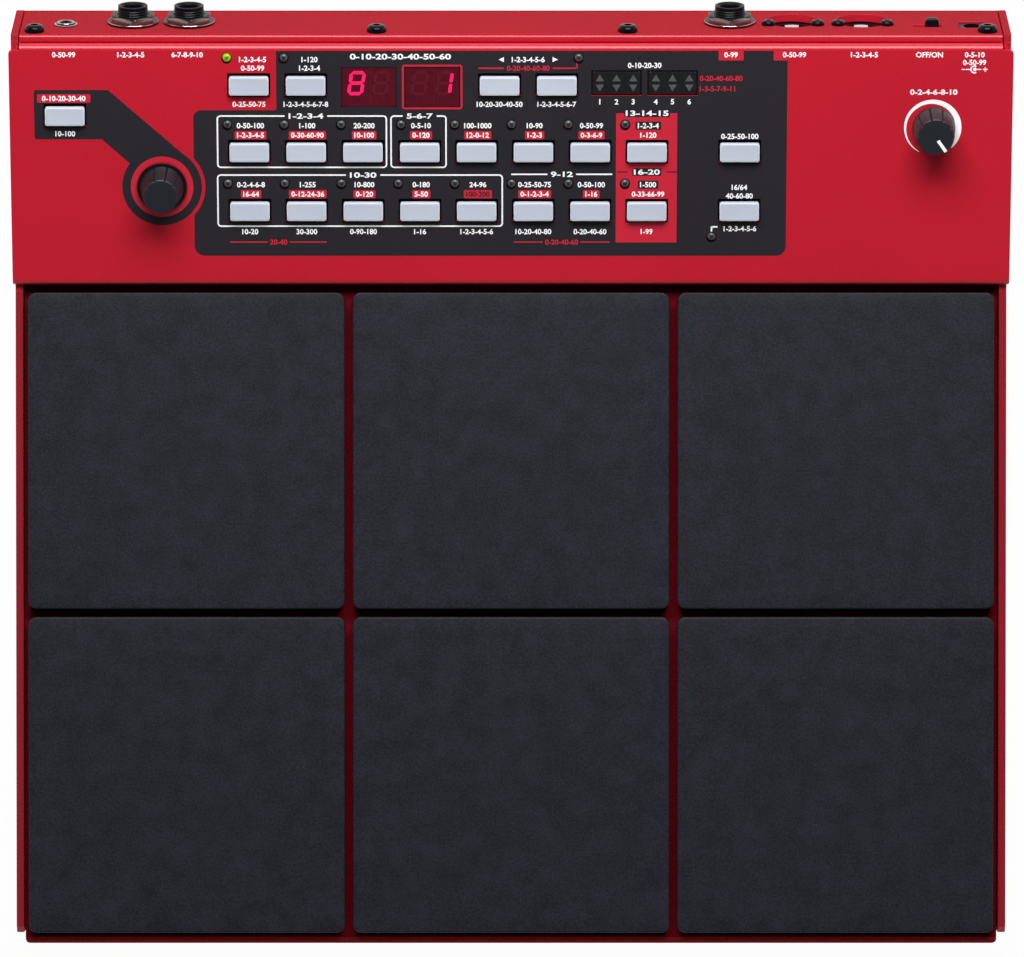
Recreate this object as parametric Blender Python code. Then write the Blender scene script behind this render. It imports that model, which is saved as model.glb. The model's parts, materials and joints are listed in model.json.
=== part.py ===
"""Electronic drum pad.

Six rubber pads lie on a folded tray between the cheeks of a sheet-metal chassis.
Behind them a sloping control panel carries the buttons, knobs and windows, and a
rear panel at right angles to it carries the sockets.

World frame: +X to the player's right, +Y away from the player, +Z up. The origin is
on the surface that the feet stand on, under the middle of the object.

Two slanted frames hold the sloping pieces:
    panel frame   origin on the control panel's top face, above the middle of its front
                  edge; x to the right, y up the slope, z out of the panel
    rear frame    origin on the rear panel's outer face, at the middle of its top edge;
                  x to the left as the player sees it, y up, z out of the face
"""

import math

import bmesh
import bpy
from mathutils import Matrix, Vector

MM = 0.001

# ---- clearances -------------------------------------------------------------
GAP = 0.3 * MM  # between two pieces that touch on the real object
HOLE_GAP = 0.3 * MM  # all round a piece that passes through a sheet

# ---- pads -------------------------------------------------------------------
PAD_SIDE = 103.7 * MM
PAD_SPACING = 2.7 * MM
PAD_THICKNESS = 5.7 * MM
PAD_CORNER = 2.4 * MM
PAD_EDGE = 0.9 * MM
PAD_COLUMNS = 3
PAD_ROWS = 2

# ---- sheet metal ------------------------------------------------------------
CHEEK_THICKNESS = 2.5 * MM
BASE_THICKNESS = 2.0 * MM
TRAY_THICKNESS = 2.5 * MM
PANEL_THICKNESS = 2.0 * MM
REAR_THICKNESS = 2.5 * MM
TRAY_SIDE_MARGIN = 1.4 * MM  # tray shown beside the outer pads
TRAY_FRONT_MARGIN = 4.0 * MM  # tray shown in front of the pads
TRAY_CORNER = 1.6 * MM
TRAY_UNDER_PANEL = 4.5 * MM  # how far the tray runs on under the control panel
RAIL_SETBACK = 3.8 * MM  # the cheeks end this far behind the tray's front
RAIL_CHAMFER = 2.0 * MM
RAIL_RISE = 3.0 * MM  # the rails' top above the tray's top
CHEEK_CORNER = 1.5 * MM

# ---- heights ----------------------------------------------------------------
FOOT_HEIGHT = 4.7 * MM
FOOT_RADIUS = 7.0 * MM
FOOT_INSET = 22.0 * MM
TRAY_HEIGHT = 21.0 * MM  # from the base's underside to the tray's top

# ---- control panel ----------------------------------------------------------
PANEL_SLOPE = math.radians(16.0)
PANEL_LENGTH = 81.4 * MM  # up the slope, front edge to rear bend
PANEL_OVERHANG = 0.7 * MM  # beyond each cheek
PANEL_GAP = 2.2 * MM  # between the rear pads and the panel's front edge
PANEL_RISE = 6.0 * MM  # the panel's front edge above the tray's top
PANEL_BEND = 2.0 * MM  # outer radius of the rear bend
PANEL_CORNER = 1.0 * MM
LEDGE_DEPTH = 3.0 * MM  # the rear panel's top face below the control panel's
LEDGE_LENGTH = 2.5 * MM  # ledge shown behind the control panel
REAR_HEIGHT = 30.9 * MM
FLANGE_LENGTH = 4.6 * MM
REAR_BEND = 1.0 * MM
CHEEK_PROUD = 0.5 * MM  # the cheeks stand this far behind the rear panel
UNDERCUT = 18.0 * MM  # the base starts this far in front of the rear panel's foot

# ---- buttons and LEDs, in the panel frame -------------------------------------
# A setback is measured down the slope from the panel's rear bend.
COLUMN_PITCH = 18.5 * MM
FIRST_COLUMN = -85.2 * MM
UPPER_SETBACK = 13.3 * MM
MIDDLE_SETBACK = 35.7 * MM
LOWER_SETBACK = 55.6 * MM
PANIC_X = -145.1 * MM
PANIC_SETBACK = 23.5 * MM
CHANNEL_PREVIOUS_X = -3.7 * MM
CHANNEL_NEXT_X = 14.9 * MM
SHIFT_X = 74.5 * MM
BUTTON_WIDTH = 13.2 * MM
BUTTON_DEPTH = 6.9 * MM
BUTTON_HEIGHT = 2.0 * MM  # above the panel
BUTTON_TRAVEL = 0.5 * MM
BUTTON_FLANGE = 1.0 * MM  # width and thickness of the lip that keeps it in
BUTTON_CROWN = 0.35 * MM
STEM_SIDE = 4.0 * MM
SWITCH_SIDE = 6.0 * MM
SWITCH_HEIGHT = 2.4 * MM
SWITCH_CLEARANCE = 0.2 * MM  # left between stem and switch at full travel
LED_RADIUS = 1.4 * MM
LED_HEIGHT = 0.6 * MM  # above the panel
LED_ABOVE_BUTTON = 9.0 * MM
LED_LEFT = 7.1 * MM
CLICK_LED_LEFT = 6.1 * MM

# ---- windows, in the panel frame ----------------------------------------------
DISPLAY_WIDTH = 18.2 * MM
DISPLAY_DEPTH = 14.0 * MM
DISPLAY_CENTRES = (-46.2 * MM, -25.6 * MM)
DISPLAY_SETBACK = 14.1 * MM
LENS_WIDTH = 15.8 * MM
LENS_DEPTH = 7.9 * MM
LENS_CENTRES = (34.3 * MM, 52.5 * MM)
LENS_SETBACK = 12.8 * MM
WINDOW_SUNK = 0.2 * MM
WINDOW_LIP = 0.9 * MM
WINDOW_CARRIER = 1.2 * MM

# ---- control board and its parts -----------------------------------------------
BOARD_THICKNESS = 1.6 * MM
BOARD_DROP = 8.0 * MM  # its top below the panel's top
BOARD_FRONT = 8.0 * MM
BOARD_SETBACK = 2.4 * MM
BOARD_SIDE_GAP = 6.0 * MM
SPACER_RADIUS = 3.0 * MM
SPACERS = (  # x and setback
    (-140.0 * MM, 66.4 * MM), (0.0, 67.4 * MM), (140.0 * MM, 66.4 * MM),
    (-126.0 * MM, 8.4 * MM), (100.0 * MM, 10.4 * MM),
)

# ---- knobs, in the panel frame --------------------------------------------------
ENCODER_X = -113.8 * MM
ENCODER_SETBACK = 47.7 * MM
MASTER_X = 137.6 * MM
MASTER_SETBACK = 27.7 * MM
ENCODER_KNOB_RADIUS = 6.8 * MM
ENCODER_TOP_RADIUS = 5.5 * MM
SKIRT_RADIUS = 8.2 * MM  # a thin round skirt under the encoder's knob only
SKIRT_HEIGHT = 0.8 * MM
MASTER_KNOB_RADIUS = 6.9 * MM
MASTER_TOP_RADIUS = 6.0 * MM
KNOB_TOP = 12.4 * MM  # above the panel
KNOB_LIFT = 0.5 * MM  # between the panel and the knob
KNOB_ROOF = 1.4 * MM
KNOB_EDGE = 0.6 * MM
FLUTES = 10
FLUTE_DEPTH = 0.35 * MM
SHAFT_RADIUS = 3.0 * MM
SHAFT_IN_BODY = 3.2 * MM
BUSH_WALL = 1.0 * MM
BUSH_HEIGHT = 2.6 * MM  # above the panel
ROTARY_SIDE = 12.0 * MM

# ---- rear panel, in the rear frame -----------------------------------------------
JACK_CENTRES = (123.4 * MM, 105.1 * MM, -71.4 * MM)
JACK_DROP = 15.9 * MM
JACK_BORE = 3.4 * MM
JACK_NOSE = 4.8 * MM
JACK_NOSE_LENGTH = 6.0 * MM
JACK_MOUTH = 4.1 * MM
JACK_BODY_WIDTH = 16.0 * MM
JACK_BODY_LENGTH = 25.0 * MM
JACK_BODY_ABOVE = 7.0 * MM  # the body's top above the bore's axis
JACK_TIP_WALL = 2.0 * MM
WASHER_RADIUS = 8.4 * MM
WASHER_THICKNESS = 0.8 * MM
NUT_ACROSS_FLATS = 13.8 * MM
NUT_THICKNESS = 2.0 * MM
PHONES_CENTRE = 145.2 * MM
PHONES_DROP = 13.5 * MM
PHONES_BORE = 1.8 * MM
PHONES_NOSE = 3.1 * MM
PHONES_PROUD = 0.8 * MM
PHONES_BODY_WIDTH = 9.0 * MM
PHONES_BODY_LENGTH = 14.0 * MM
DIN_CENTRES = (-92.0 * MM, -114.7 * MM)
DIN_DROP = 19.0 * MM
DIN_HOLE = 8.6 * MM
DIN_BODY = 17.6 * MM
DIN_BODY_LENGTH = 13.0 * MM
DIN_RECESS = 6.7 * MM
DIN_RECESS_DEPTH = 8.0 * MM
DC_CENTRE = -150.5 * MM
DC_DROP = 13.9 * MM
DC_WIDTH = 9.2 * MM
DC_DEPTH = 8.2 * MM
DC_BORE = 2.9 * MM
DC_PIN = 1.0 * MM
DC_BODY_LENGTH = 13.0 * MM
DC_RECESS_DEPTH = 9.0 * MM
SWITCH_CENTRE = -135.8 * MM
SWITCH_DROP = 12.3 * MM
SWITCH_SLOT_WIDTH = 9.6 * MM
SWITCH_SLOT_DEPTH = 3.3 * MM
LEVER_WIDTH = 4.4 * MM
LEVER_PROUD = 2.7 * MM
LEVER_TRAVEL = 3.6 * MM
LEVER_FOOT = 1.4 * MM
LEVER_EDGE = 0.5 * MM
SWITCH_BODY_WIDTH = 14.0 * MM
SWITCH_BODY_LENGTH = 10.0 * MM
JACK_BOARD_DROP = 27.7 * MM  # its top below the rear panel's top edge
JACK_BOARD_LENGTH = 26.0 * MM
JACK_BOARD_SIDE_GAP = 3.0 * MM

# ---- sensors under the tray -------------------------------------------------------
SENSOR_RADIUS = 13.5 * MM
SENSOR_THICKNESS = 0.8 * MM
TAIL_WIDTH = 8.0 * MM
TAIL_THICKNESS = 0.5 * MM

# ---- what follows from the sizes above ----------------------------------------------
PAD_PITCH = PAD_SIDE + PAD_SPACING
PADS_WIDTH = PAD_COLUMNS * PAD_PITCH - PAD_SPACING
PADS_DEPTH = PAD_ROWS * PAD_PITCH - PAD_SPACING
TRAY_HALF = PADS_WIDTH / 2 + TRAY_SIDE_MARGIN
CHEEK_INNER = TRAY_HALF + GAP
CHEEK_OUTER = CHEEK_INNER + CHEEK_THICKNESS
PANEL_HALF = CHEEK_OUTER + PANEL_OVERHANG

BASE_BOTTOM = FOOT_HEIGHT + GAP
BASE_TOP = BASE_BOTTOM + BASE_THICKNESS
TRAY_TOP = BASE_BOTTOM + TRAY_HEIGHT
RAIL_TOP = TRAY_TOP + RAIL_RISE
PANEL_FRONT_TOP = TRAY_TOP + PANEL_RISE

UP_SLOPE = Vector((0, math.cos(PANEL_SLOPE), math.sin(PANEL_SLOPE)))
OUT_OF_PANEL = Vector((0, -math.sin(PANEL_SLOPE), math.cos(PANEL_SLOPE)))
REAR_FACE = PANEL_LENGTH + LEDGE_LENGTH  # up the slope, in the panel frame

# The object reaches from the tray's front to the lower lip of the jacks' noses.
FRONT_TO_PANEL = TRAY_FRONT_MARGIN + PADS_DEPTH + PANEL_GAP
NOSE_REACH = (REAR_FACE + JACK_NOSE_LENGTH) * UP_SLOPE
NOSE_REACH -= (LEDGE_DEPTH + JACK_DROP + JACK_NOSE) * OUT_OF_PANEL
TRAY_FRONT = -(FRONT_TO_PANEL + NOSE_REACH.y) / 2
PADS_FRONT = TRAY_FRONT + TRAY_FRONT_MARGIN
PANEL_FRONT = TRAY_FRONT + FRONT_TO_PANEL
TRAY_REAR = PANEL_FRONT + TRAY_UNDER_PANEL

UPPER_ROW = PANEL_LENGTH - UPPER_SETBACK
MIDDLE_ROW = PANEL_LENGTH - MIDDLE_SETBACK
LOWER_ROW = PANEL_LENGTH - LOWER_SETBACK
DISPLAY_ROW = PANEL_LENGTH - DISPLAY_SETBACK
LENS_ROW = PANEL_LENGTH - LENS_SETBACK
ENCODER_PLACE = ENCODER_X, PANEL_LENGTH - ENCODER_SETBACK
MASTER_PLACE = MASTER_X, PANEL_LENGTH - MASTER_SETBACK
BOARD_REAR = PANEL_LENGTH - BOARD_SETBACK

PANEL_ORIGIN = Vector((0, PANEL_FRONT, PANEL_FRONT_TOP))
REAR_ORIGIN = PANEL_ORIGIN + REAR_FACE * UP_SLOPE - LEDGE_DEPTH * OUT_OF_PANEL
BOARD_TOP = -BOARD_DROP
BODY_BEHIND = -REAR_THICKNESS - GAP  # where the sockets' bodies start, in the rear frame
BUSH_OUTER = SHAFT_RADIUS + GAP + BUSH_WALL


# ---- small tools ----------------------------------------------------------------------
def clear_scene():
    for thing in list(bpy.data.objects):
        bpy.data.objects.remove(thing)


def material(name, colour, roughness, metallic=0.0):
    made = bpy.data.materials.new(name)
    made.use_nodes = True
    shader = made.node_tree.nodes["Principled BSDF"]
    shader.inputs["Base Color"].default_value = (*colour, 1.0)
    shader.inputs["Roughness"].default_value = roughness
    shader.inputs["Metallic"].default_value = metallic
    return made


def slanted_frame(name, origin, x_axis, y_axis):
    """An empty whose axes are the slanted frame's; what is parented to it is placed in that frame."""
    z_axis = x_axis.cross(y_axis)
    empty = bpy.data.objects.new(name, None)
    bpy.context.collection.objects.link(empty)
    turned = Matrix((x_axis, y_axis, z_axis)).transposed().to_4x4()
    empty.matrix_world = Matrix.Translation(origin) @ turned
    return empty


def add_block(mesh, low, high, corner=0.0, edge=0.0):
    """A box between two corners, its upright edges rounded by corner and its top edges by edge."""
    low, high = Vector(low), Vector(high)
    size = high - low
    place = Matrix.Translation((low + high) / 2) @ Matrix.Diagonal((*size, 1.0))
    made = bmesh.ops.create_cube(mesh, size=1.0, matrix=place)["verts"]
    edges = {e for v in made for e in v.link_edges}
    if corner:
        upright = [e for e in edges if abs(e.verts[0].co.z - e.verts[1].co.z) > size.z / 2]
        bmesh.ops.bevel(mesh, geom=upright, offset=corner, segments=4, profile=0.5, affect="EDGES")
    if edge:
        top = [
            e for e in mesh.edges
            if all(abs(v.co.z - high.z) < 1e-7 for v in e.verts)
            and len(e.link_faces) == 2
            and any(abs(f.normal.z) < 0.5 for f in e.link_faces)
        ]
        bmesh.ops.bevel(mesh, geom=top, offset=edge, segments=2, profile=0.5, affect="EDGES")


def add_rod(mesh, centre, z_low, z_high, radius, top_radius=None, segments=24):
    """A round or tapered rod along z; with 6 segments, a hexagon."""
    place = Matrix.Translation((centre[0], centre[1], (z_low + z_high) / 2))
    bmesh.ops.create_cone(
        mesh, cap_ends=True, segments=segments, radius1=radius,
        radius2=radius if top_radius is None else top_radius,
        depth=z_high - z_low, matrix=place,
    )


def add_turned(mesh, centre, outline, segments=32):
    """A solid turned about z from an outline of (radius, height) points that starts and ends on the axis."""
    points = [mesh.verts.new((centre[0] + r, centre[1], z)) for r, z in outline]
    edges = [mesh.edges.new(pair) for pair in zip(points, points[1:])]
    bmesh.ops.spin(
        mesh, geom=points + edges, cent=(*centre, 0), axis=(0, 0, 1),
        angle=math.tau, steps=segments, use_merge=True,
    )
    bmesh.ops.remove_doubles(mesh, verts=mesh.verts, dist=1e-7)


def add_prism(mesh, outline, half_width):
    """An outline of (y, z) points, drawn out along x to both sides."""
    face = mesh.faces.new([mesh.verts.new((-half_width, y, z)) for y, z in outline])
    drawn = bmesh.ops.extrude_face_region(mesh, geom=[face])["geom"]
    moved = [v for v in drawn if isinstance(v, bmesh.types.BMVert)]
    bmesh.ops.translate(mesh, verts=moved, vec=(2 * half_width, 0, 0))


def arc(centre, radius, start, end, steps=4):
    """Points on a circular arc between two angles in degrees."""
    angles = [math.radians(start + (end - start) * i / steps) for i in range(steps + 1)]
    return [(centre[0] + radius * math.cos(a), centre[1] + radius * math.sin(a)) for a in angles]


def piece(name, mesh, look, parent=None, place=(0, 0, 0)):
    """Turns a bmesh into a named object in the given frame."""
    bmesh.ops.recalc_face_normals(mesh, faces=mesh.faces)
    data = bpy.data.meshes.new(name)
    mesh.to_mesh(data)
    mesh.free()
    data.shade_smooth()
    data.set_sharp_from_angle(angle=math.radians(35))
    made = bpy.data.objects.new(name, data)
    bpy.context.collection.objects.link(made)
    made.parent = parent
    made.location = place
    if look:
        data.materials.append(look)
    return made


def shape_with(target, operation, mesh):
    """Joins a tool mesh to a piece, or cuts it away; the tool stays hidden beside its piece."""
    tool = piece(f"{target.name}_{operation.lower()}_tool", mesh, None, target.parent, target.location)
    tool.hide_render = True
    tool.display_type = "WIRE"
    modifier = target.modifiers.new(operation.title(), "BOOLEAN")
    modifier.operation = operation
    modifier.solver = "EXACT"
    modifier.use_self = True
    modifier.object = tool


# ---- chassis, tray, pads, feet -------------------------------------------------------
def in_world(up_slope, out):
    """(y, z) in the world of a point given up the slope and out of the panel."""
    point = PANEL_ORIGIN + up_slope * UP_SLOPE + out * OUT_OF_PANEL
    return point.y, point.z


def cheek_outline():
    """The side of the chassis: rail, slope under the panel, rear edge, undercut and base."""
    front = TRAY_FRONT + RAIL_SETBACK
    under = -PANEL_THICKNESS - GAP
    rear = REAR_FACE + CHEEK_PROUD
    foot = -LEDGE_DEPTH - REAR_HEIGHT - GAP
    start_y, start_z = in_world(0, under)
    slope_start = start_y + (RAIL_TOP - start_z) / math.tan(PANEL_SLOPE)
    corner = arc((rear - CHEEK_CORNER, under - CHEEK_CORNER), CHEEK_CORNER, 90, 0)
    return [
        (front, BASE_BOTTOM),
        (front, RAIL_TOP - RAIL_CHAMFER),
        (front + RAIL_CHAMFER, RAIL_TOP),
        (slope_start, RAIL_TOP),
        *[in_world(*point) for point in corner],
        in_world(rear, foot),
        (in_world(rear, foot)[0] - UNDERCUT, BASE_BOTTOM),
    ]


def chassis_inside():
    """What is cut out between the cheeks: all above the base, and all above the undercut wall."""
    rear, foot = REAR_FACE + CHEEK_PROUD, -LEDGE_DEPTH - REAR_HEIGHT - GAP
    foot_y, foot_z = in_world(rear, foot)
    undercut_angle = math.atan2(foot_z - BASE_BOTTOM, UNDERCUT)
    base_end = foot_y - UNDERCUT - BASE_THICKNESS * math.tan(undercut_angle / 2)
    wall_top = in_world(rear - BASE_THICKNESS / math.sin(undercut_angle - PANEL_SLOPE), foot)
    beyond = 2 * REAR_HEIGHT
    high = PANEL_FRONT_TOP + beyond
    return [
        (TRAY_FRONT - beyond, BASE_TOP),
        (base_end, BASE_TOP),
        wall_top,
        in_world(rear + beyond, foot),
        (in_world(rear + beyond, foot)[0], high),
        (TRAY_FRONT - beyond, high),
    ]


def make_chassis(red):
    mesh = bmesh.new()
    add_prism(mesh, cheek_outline(), CHEEK_OUTER)
    chassis = piece("chassis", mesh, red)
    tool = bmesh.new()
    add_prism(tool, chassis_inside(), CHEEK_INNER)
    shape_with(chassis, "DIFFERENCE", tool)


def make_tray(red):
    """An upside-down pan: its plate carries the pads, its skirt stands on the base."""
    mesh = bmesh.new()
    skirt_foot = BASE_TOP + GAP
    low, high = (-TRAY_HALF, TRAY_FRONT, skirt_foot), (TRAY_HALF, TRAY_REAR, TRAY_TOP)
    add_block(mesh, low, high, corner=TRAY_CORNER)
    tray = piece("pad_tray", mesh, red)
    tool = bmesh.new()
    inner = TRAY_HALF - TRAY_THICKNESS
    add_block(
        tool,
        (-inner, TRAY_FRONT + TRAY_THICKNESS, skirt_foot - TRAY_THICKNESS),
        (inner, TRAY_REAR + TRAY_THICKNESS, TRAY_TOP - TRAY_THICKNESS),
    )
    shape_with(tray, "DIFFERENCE", tool)


def pad_centres():
    """(x, y) of each pad, front row first, left to right."""
    for row in range(PAD_ROWS):
        for column in range(PAD_COLUMNS):
            x = (column - (PAD_COLUMNS - 1) / 2) * PAD_PITCH
            yield x, PADS_FRONT + PAD_SIDE / 2 + row * PAD_PITCH


def make_pads(rubber):
    half = PAD_SIDE / 2
    for number, (x, y) in enumerate(pad_centres(), 1):
        mesh = bmesh.new()
        low, high = (-half, -half, 0), (half, half, PAD_THICKNESS)
        add_block(mesh, low, high, corner=PAD_CORNER, edge=PAD_EDGE)
        piece(f"drum_pad_{number}", mesh, rubber, place=(x, y, TRAY_TOP + GAP))


def make_sensor_sheet(brass):
    """A piezo disc under each pad, all on one flat tail that is stuck under the tray."""
    top = TRAY_TOP - TRAY_THICKNESS - GAP
    centres = list(pad_centres())
    mesh = bmesh.new()
    for x, y in centres:
        add_rod(mesh, (x, y), top - SENSOR_THICKNESS, top, SENSOR_RADIUS, segments=16)
    sheet = piece("sensor_sheet", mesh, brass)
    tool = bmesh.new()
    low, high = top - TAIL_THICKNESS, top - TAIL_THICKNESS / 4
    for row in range(PAD_ROWS):
        left, right = centres[row * PAD_COLUMNS], centres[(row + 1) * PAD_COLUMNS - 1]
        add_block(
            tool, (left[0], left[1] - TAIL_WIDTH / 2, low), (right[0], right[1] + TAIL_WIDTH / 2, high)
        )
    middle = centres[PAD_COLUMNS // 2][0] + SENSOR_RADIUS / 4
    half = TAIL_WIDTH / 2
    spine_low, spine_high = low - TAIL_THICKNESS / 8, high - TAIL_THICKNESS / 8
    add_block(
        tool, (middle - half, centres[0][1], spine_low), (middle + half, TRAY_REAR, spine_high)
    )
    shape_with(sheet, "UNION", tool)


def make_feet(rubber):
    x = CHEEK_OUTER - FOOT_INSET
    front = TRAY_FRONT + RAIL_SETBACK + FOOT_INSET
    rear = cheek_outline()[-1][0] - FOOT_INSET
    for name, place in {
        "foot_front_left": (-x, front), "foot_front_right": (x, front),
        "foot_rear_left": (-x, rear), "foot_rear_right": (x, rear),
    }.items():
        mesh = bmesh.new()
        add_rod(mesh, (0, 0), 0, FOOT_HEIGHT, FOOT_RADIUS)
        piece(name, mesh, rubber, place=(*place, 0))


# ---- control panel and what it carries -------------------------------------------------
def column(number):
    return FIRST_COLUMN + number * COLUMN_PITCH


def button_places():
    """Each button's name and its centre in the panel frame."""
    places = {
        "panic_button": (PANIC_X, PANEL_LENGTH - PANIC_SETBACK),
        "kit_button": (column(0), UPPER_ROW),
        "drum_button": (column(1), UPPER_ROW),
        "channel_previous_button": (CHANNEL_PREVIOUS_X, UPPER_ROW),
        "channel_next_button": (CHANNEL_NEXT_X, UPPER_ROW),
        "shift_button": (SHIFT_X, MIDDLE_ROW),
        "tap_button": (SHIFT_X, LOWER_ROW),
    }
    rows = {
        MIDDLE_ROW: (
            "noise_resonance", "noise_frequency", "noise_decay", "click_level",
            "equaliser", "distortion", "reverb_amount", "reverb_color",
        ),
        LOWER_ROW: (
            "tone_spectra", "tone_frequency", "tone_decay", "tone_bend",
            "tone_pitch", "noise_level", "channel_level", "delay_rate",
        ),
    }
    for row, names in rows.items():
        for number, name in enumerate(names):
            places[f"{name}_button"] = (column(number), row)
    return places


def led_places():
    """The centre of each LED in the panel frame, most of them up and left of a button."""
    buttons = button_places()
    places = []
    for name, (x, y) in buttons.items():
        if y in (MIDDLE_ROW, LOWER_ROW) and name not in ("shift_button", "tap_button"):
            left = CLICK_LED_LEFT if name == "click_level_button" else LED_LEFT
            places.append((x - left, y + LED_ABOVE_BUTTON))
    for name in ("kit_button", "drum_button"):
        x, y = buttons[name]
        places.append((x - LED_LEFT, y + LED_ABOVE_BUTTON))
    x, y = buttons["channel_next_button"]
    places.append((x + LED_LEFT, y + LED_ABOVE_BUTTON))
    x, y = buttons["tap_button"]
    places.append((x - LED_ABOVE_BUTTON, y - LED_ABOVE_BUTTON))
    return places


def panel_outline():
    """The sheet's section in (up the slope, out of the panel), with its front flange and rear bend."""
    inner_bend = PANEL_BEND / 4
    inner_centre = PANEL_LENGTH - PANEL_THICKNESS - inner_bend, -PANEL_THICKNESS - inner_bend
    lip = -LEDGE_DEPTH + GAP
    flange_foot = -(PANEL_RISE - GAP) / math.cos(PANEL_SLOPE) + PANEL_THICKNESS * math.sin(PANEL_SLOPE)
    front_bend = PANEL_BEND / 2
    return [
        (0, flange_foot),
        *arc((front_bend, -front_bend), front_bend, 180, 90),
        *arc((PANEL_LENGTH - PANEL_BEND, -PANEL_BEND), PANEL_BEND, 90, 0),
        (PANEL_LENGTH, lip),
        (PANEL_LENGTH - PANEL_THICKNESS, lip),
        *arc(inner_centre, inner_bend, 0, 90, 2)[1:],
        (PANEL_THICKNESS, -PANEL_THICKNESS),
        (PANEL_THICKNESS, flange_foot),
    ]


def make_control_panel(red, frame):
    mesh = bmesh.new()
    add_prism(mesh, panel_outline(), TRAY_HALF)
    panel = piece("control_panel", mesh, red, frame)

    extra = bmesh.new()
    rear = PANEL_LENGTH - PANEL_BEND
    add_block(extra, (-PANEL_HALF, 0, -PANEL_THICKNESS), (PANEL_HALF, rear, 0), corner=PANEL_CORNER)
    shape_with(panel, "UNION", extra)

    holes = bmesh.new()
    below, above = -PANEL_THICKNESS - GAP, GAP
    half = BUTTON_WIDTH / 2 + HOLE_GAP, BUTTON_DEPTH / 2 + HOLE_GAP
    for x, y in button_places().values():
        add_block(holes, (x - half[0], y - half[1], below), (x + half[0], y + half[1], above))
    for place in led_places():
        add_rod(holes, place, below, above, LED_RADIUS + HOLE_GAP, segments=12)
    for place in (ENCODER_PLACE, MASTER_PLACE):
        add_rod(holes, place, below, above, BUSH_OUTER + HOLE_GAP)
    for low, high in window_boxes(HOLE_GAP):
        add_block(holes, (*low, below), (*high, above))
    shape_with(panel, "DIFFERENCE", holes)


def window_boxes(margin):
    """Low and high corners in the panel frame of the display windows, then of the channel windows."""
    for x in DISPLAY_CENTRES:
        half = DISPLAY_WIDTH / 2 + margin, DISPLAY_DEPTH / 2 + margin
        yield (x - half[0], DISPLAY_ROW - half[1]), (x + half[0], DISPLAY_ROW + half[1])
    for x in LENS_CENTRES:
        half = LENS_WIDTH / 2 + margin, LENS_DEPTH / 2 + margin
        yield (x - half[0], LENS_ROW - half[1]), (x + half[0], LENS_ROW + half[1])


def make_windows(dark_red, smoke, frame):
    """Each filter is one carrier behind the panel with a raised window for each opening."""
    boxes = list(window_boxes(0))
    for name, look, (left, right) in (
        ("display_filter", dark_red, boxes[:2]), ("channel_lens", smoke, boxes[2:]),
    ):
        top = -PANEL_THICKNESS - GAP
        mesh = bmesh.new()
        add_block(
            mesh,
            (left[0][0] - WINDOW_LIP, left[0][1] - WINDOW_LIP, top - WINDOW_CARRIER),
            (right[1][0] + WINDOW_LIP, right[1][1] + WINDOW_LIP, top),
        )
        carrier = piece(name, mesh, look, frame)
        tool = bmesh.new()
        for low, high in (left, right):
            add_block(tool, (*low, top - WINDOW_CARRIER / 2), (*high, -WINDOW_SUNK))
        shape_with(carrier, "UNION", tool)


def make_buttons(grey, frame):
    """A keycap through the panel, a lip behind it that keeps it in, and a stem over its switch."""
    lip_top = -PANEL_THICKNESS - GAP
    lip_foot = lip_top - BUTTON_FLANGE
    stem_foot = BOARD_TOP + SWITCH_HEIGHT + BUTTON_TRAVEL + SWITCH_CLEARANCE
    half_x, half_y = BUTTON_WIDTH / 2, BUTTON_DEPTH / 2
    for name, place in button_places().items():
        mesh = bmesh.new()
        low = -half_x, -half_y, lip_foot + BUTTON_FLANGE / 2
        add_block(mesh, low, (half_x, half_y, BUTTON_HEIGHT), edge=BUTTON_CROWN)
        button = piece(name, mesh, grey, frame, (*place, 0))
        tool = bmesh.new()
        lip_x, lip_y = half_x + BUTTON_FLANGE, half_y + BUTTON_FLANGE
        add_block(tool, (-lip_x, -lip_y, lip_foot), (lip_x, lip_y, lip_top))
        stem = STEM_SIDE / 2
        add_block(tool, (-stem, -stem, stem_foot), (stem, stem, lip_foot + BUTTON_FLANGE / 4))
        shape_with(button, "UNION", tool)


def make_control_board(green, frame):
    """The printed board behind the panel, with its spacers, a switch under each button and the LEDs."""
    half = CHEEK_INNER - BOARD_SIDE_GAP
    mesh = bmesh.new()
    add_block(mesh, (-half, BOARD_FRONT, BOARD_TOP - BOARD_THICKNESS), (half, BOARD_REAR, BOARD_TOP))
    board = piece("control_board", mesh, green, frame)
    tool = bmesh.new()
    sunk = BOARD_TOP - BOARD_THICKNESS / 2
    side = SWITCH_SIDE / 2
    for x, y in button_places().values():
        add_block(tool, (x - side, y - side, sunk), (x + side, y + side, BOARD_TOP + SWITCH_HEIGHT))
    dome = [
        (0, sunk),
        (LED_RADIUS, sunk),
        (LED_RADIUS, LED_HEIGHT - LED_RADIUS / 2),
        (0.7 * LED_RADIUS, LED_HEIGHT - 0.15 * LED_RADIUS),
        (0, LED_HEIGHT),
    ]
    for place in led_places():
        add_turned(tool, place, dome, segments=8)
    for x, setback in SPACERS:
        place = x, PANEL_LENGTH - setback
        add_rod(tool, place, sunk, -PANEL_THICKNESS - GAP, SPACER_RADIUS, segments=12)
    shape_with(board, "UNION", tool)


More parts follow.
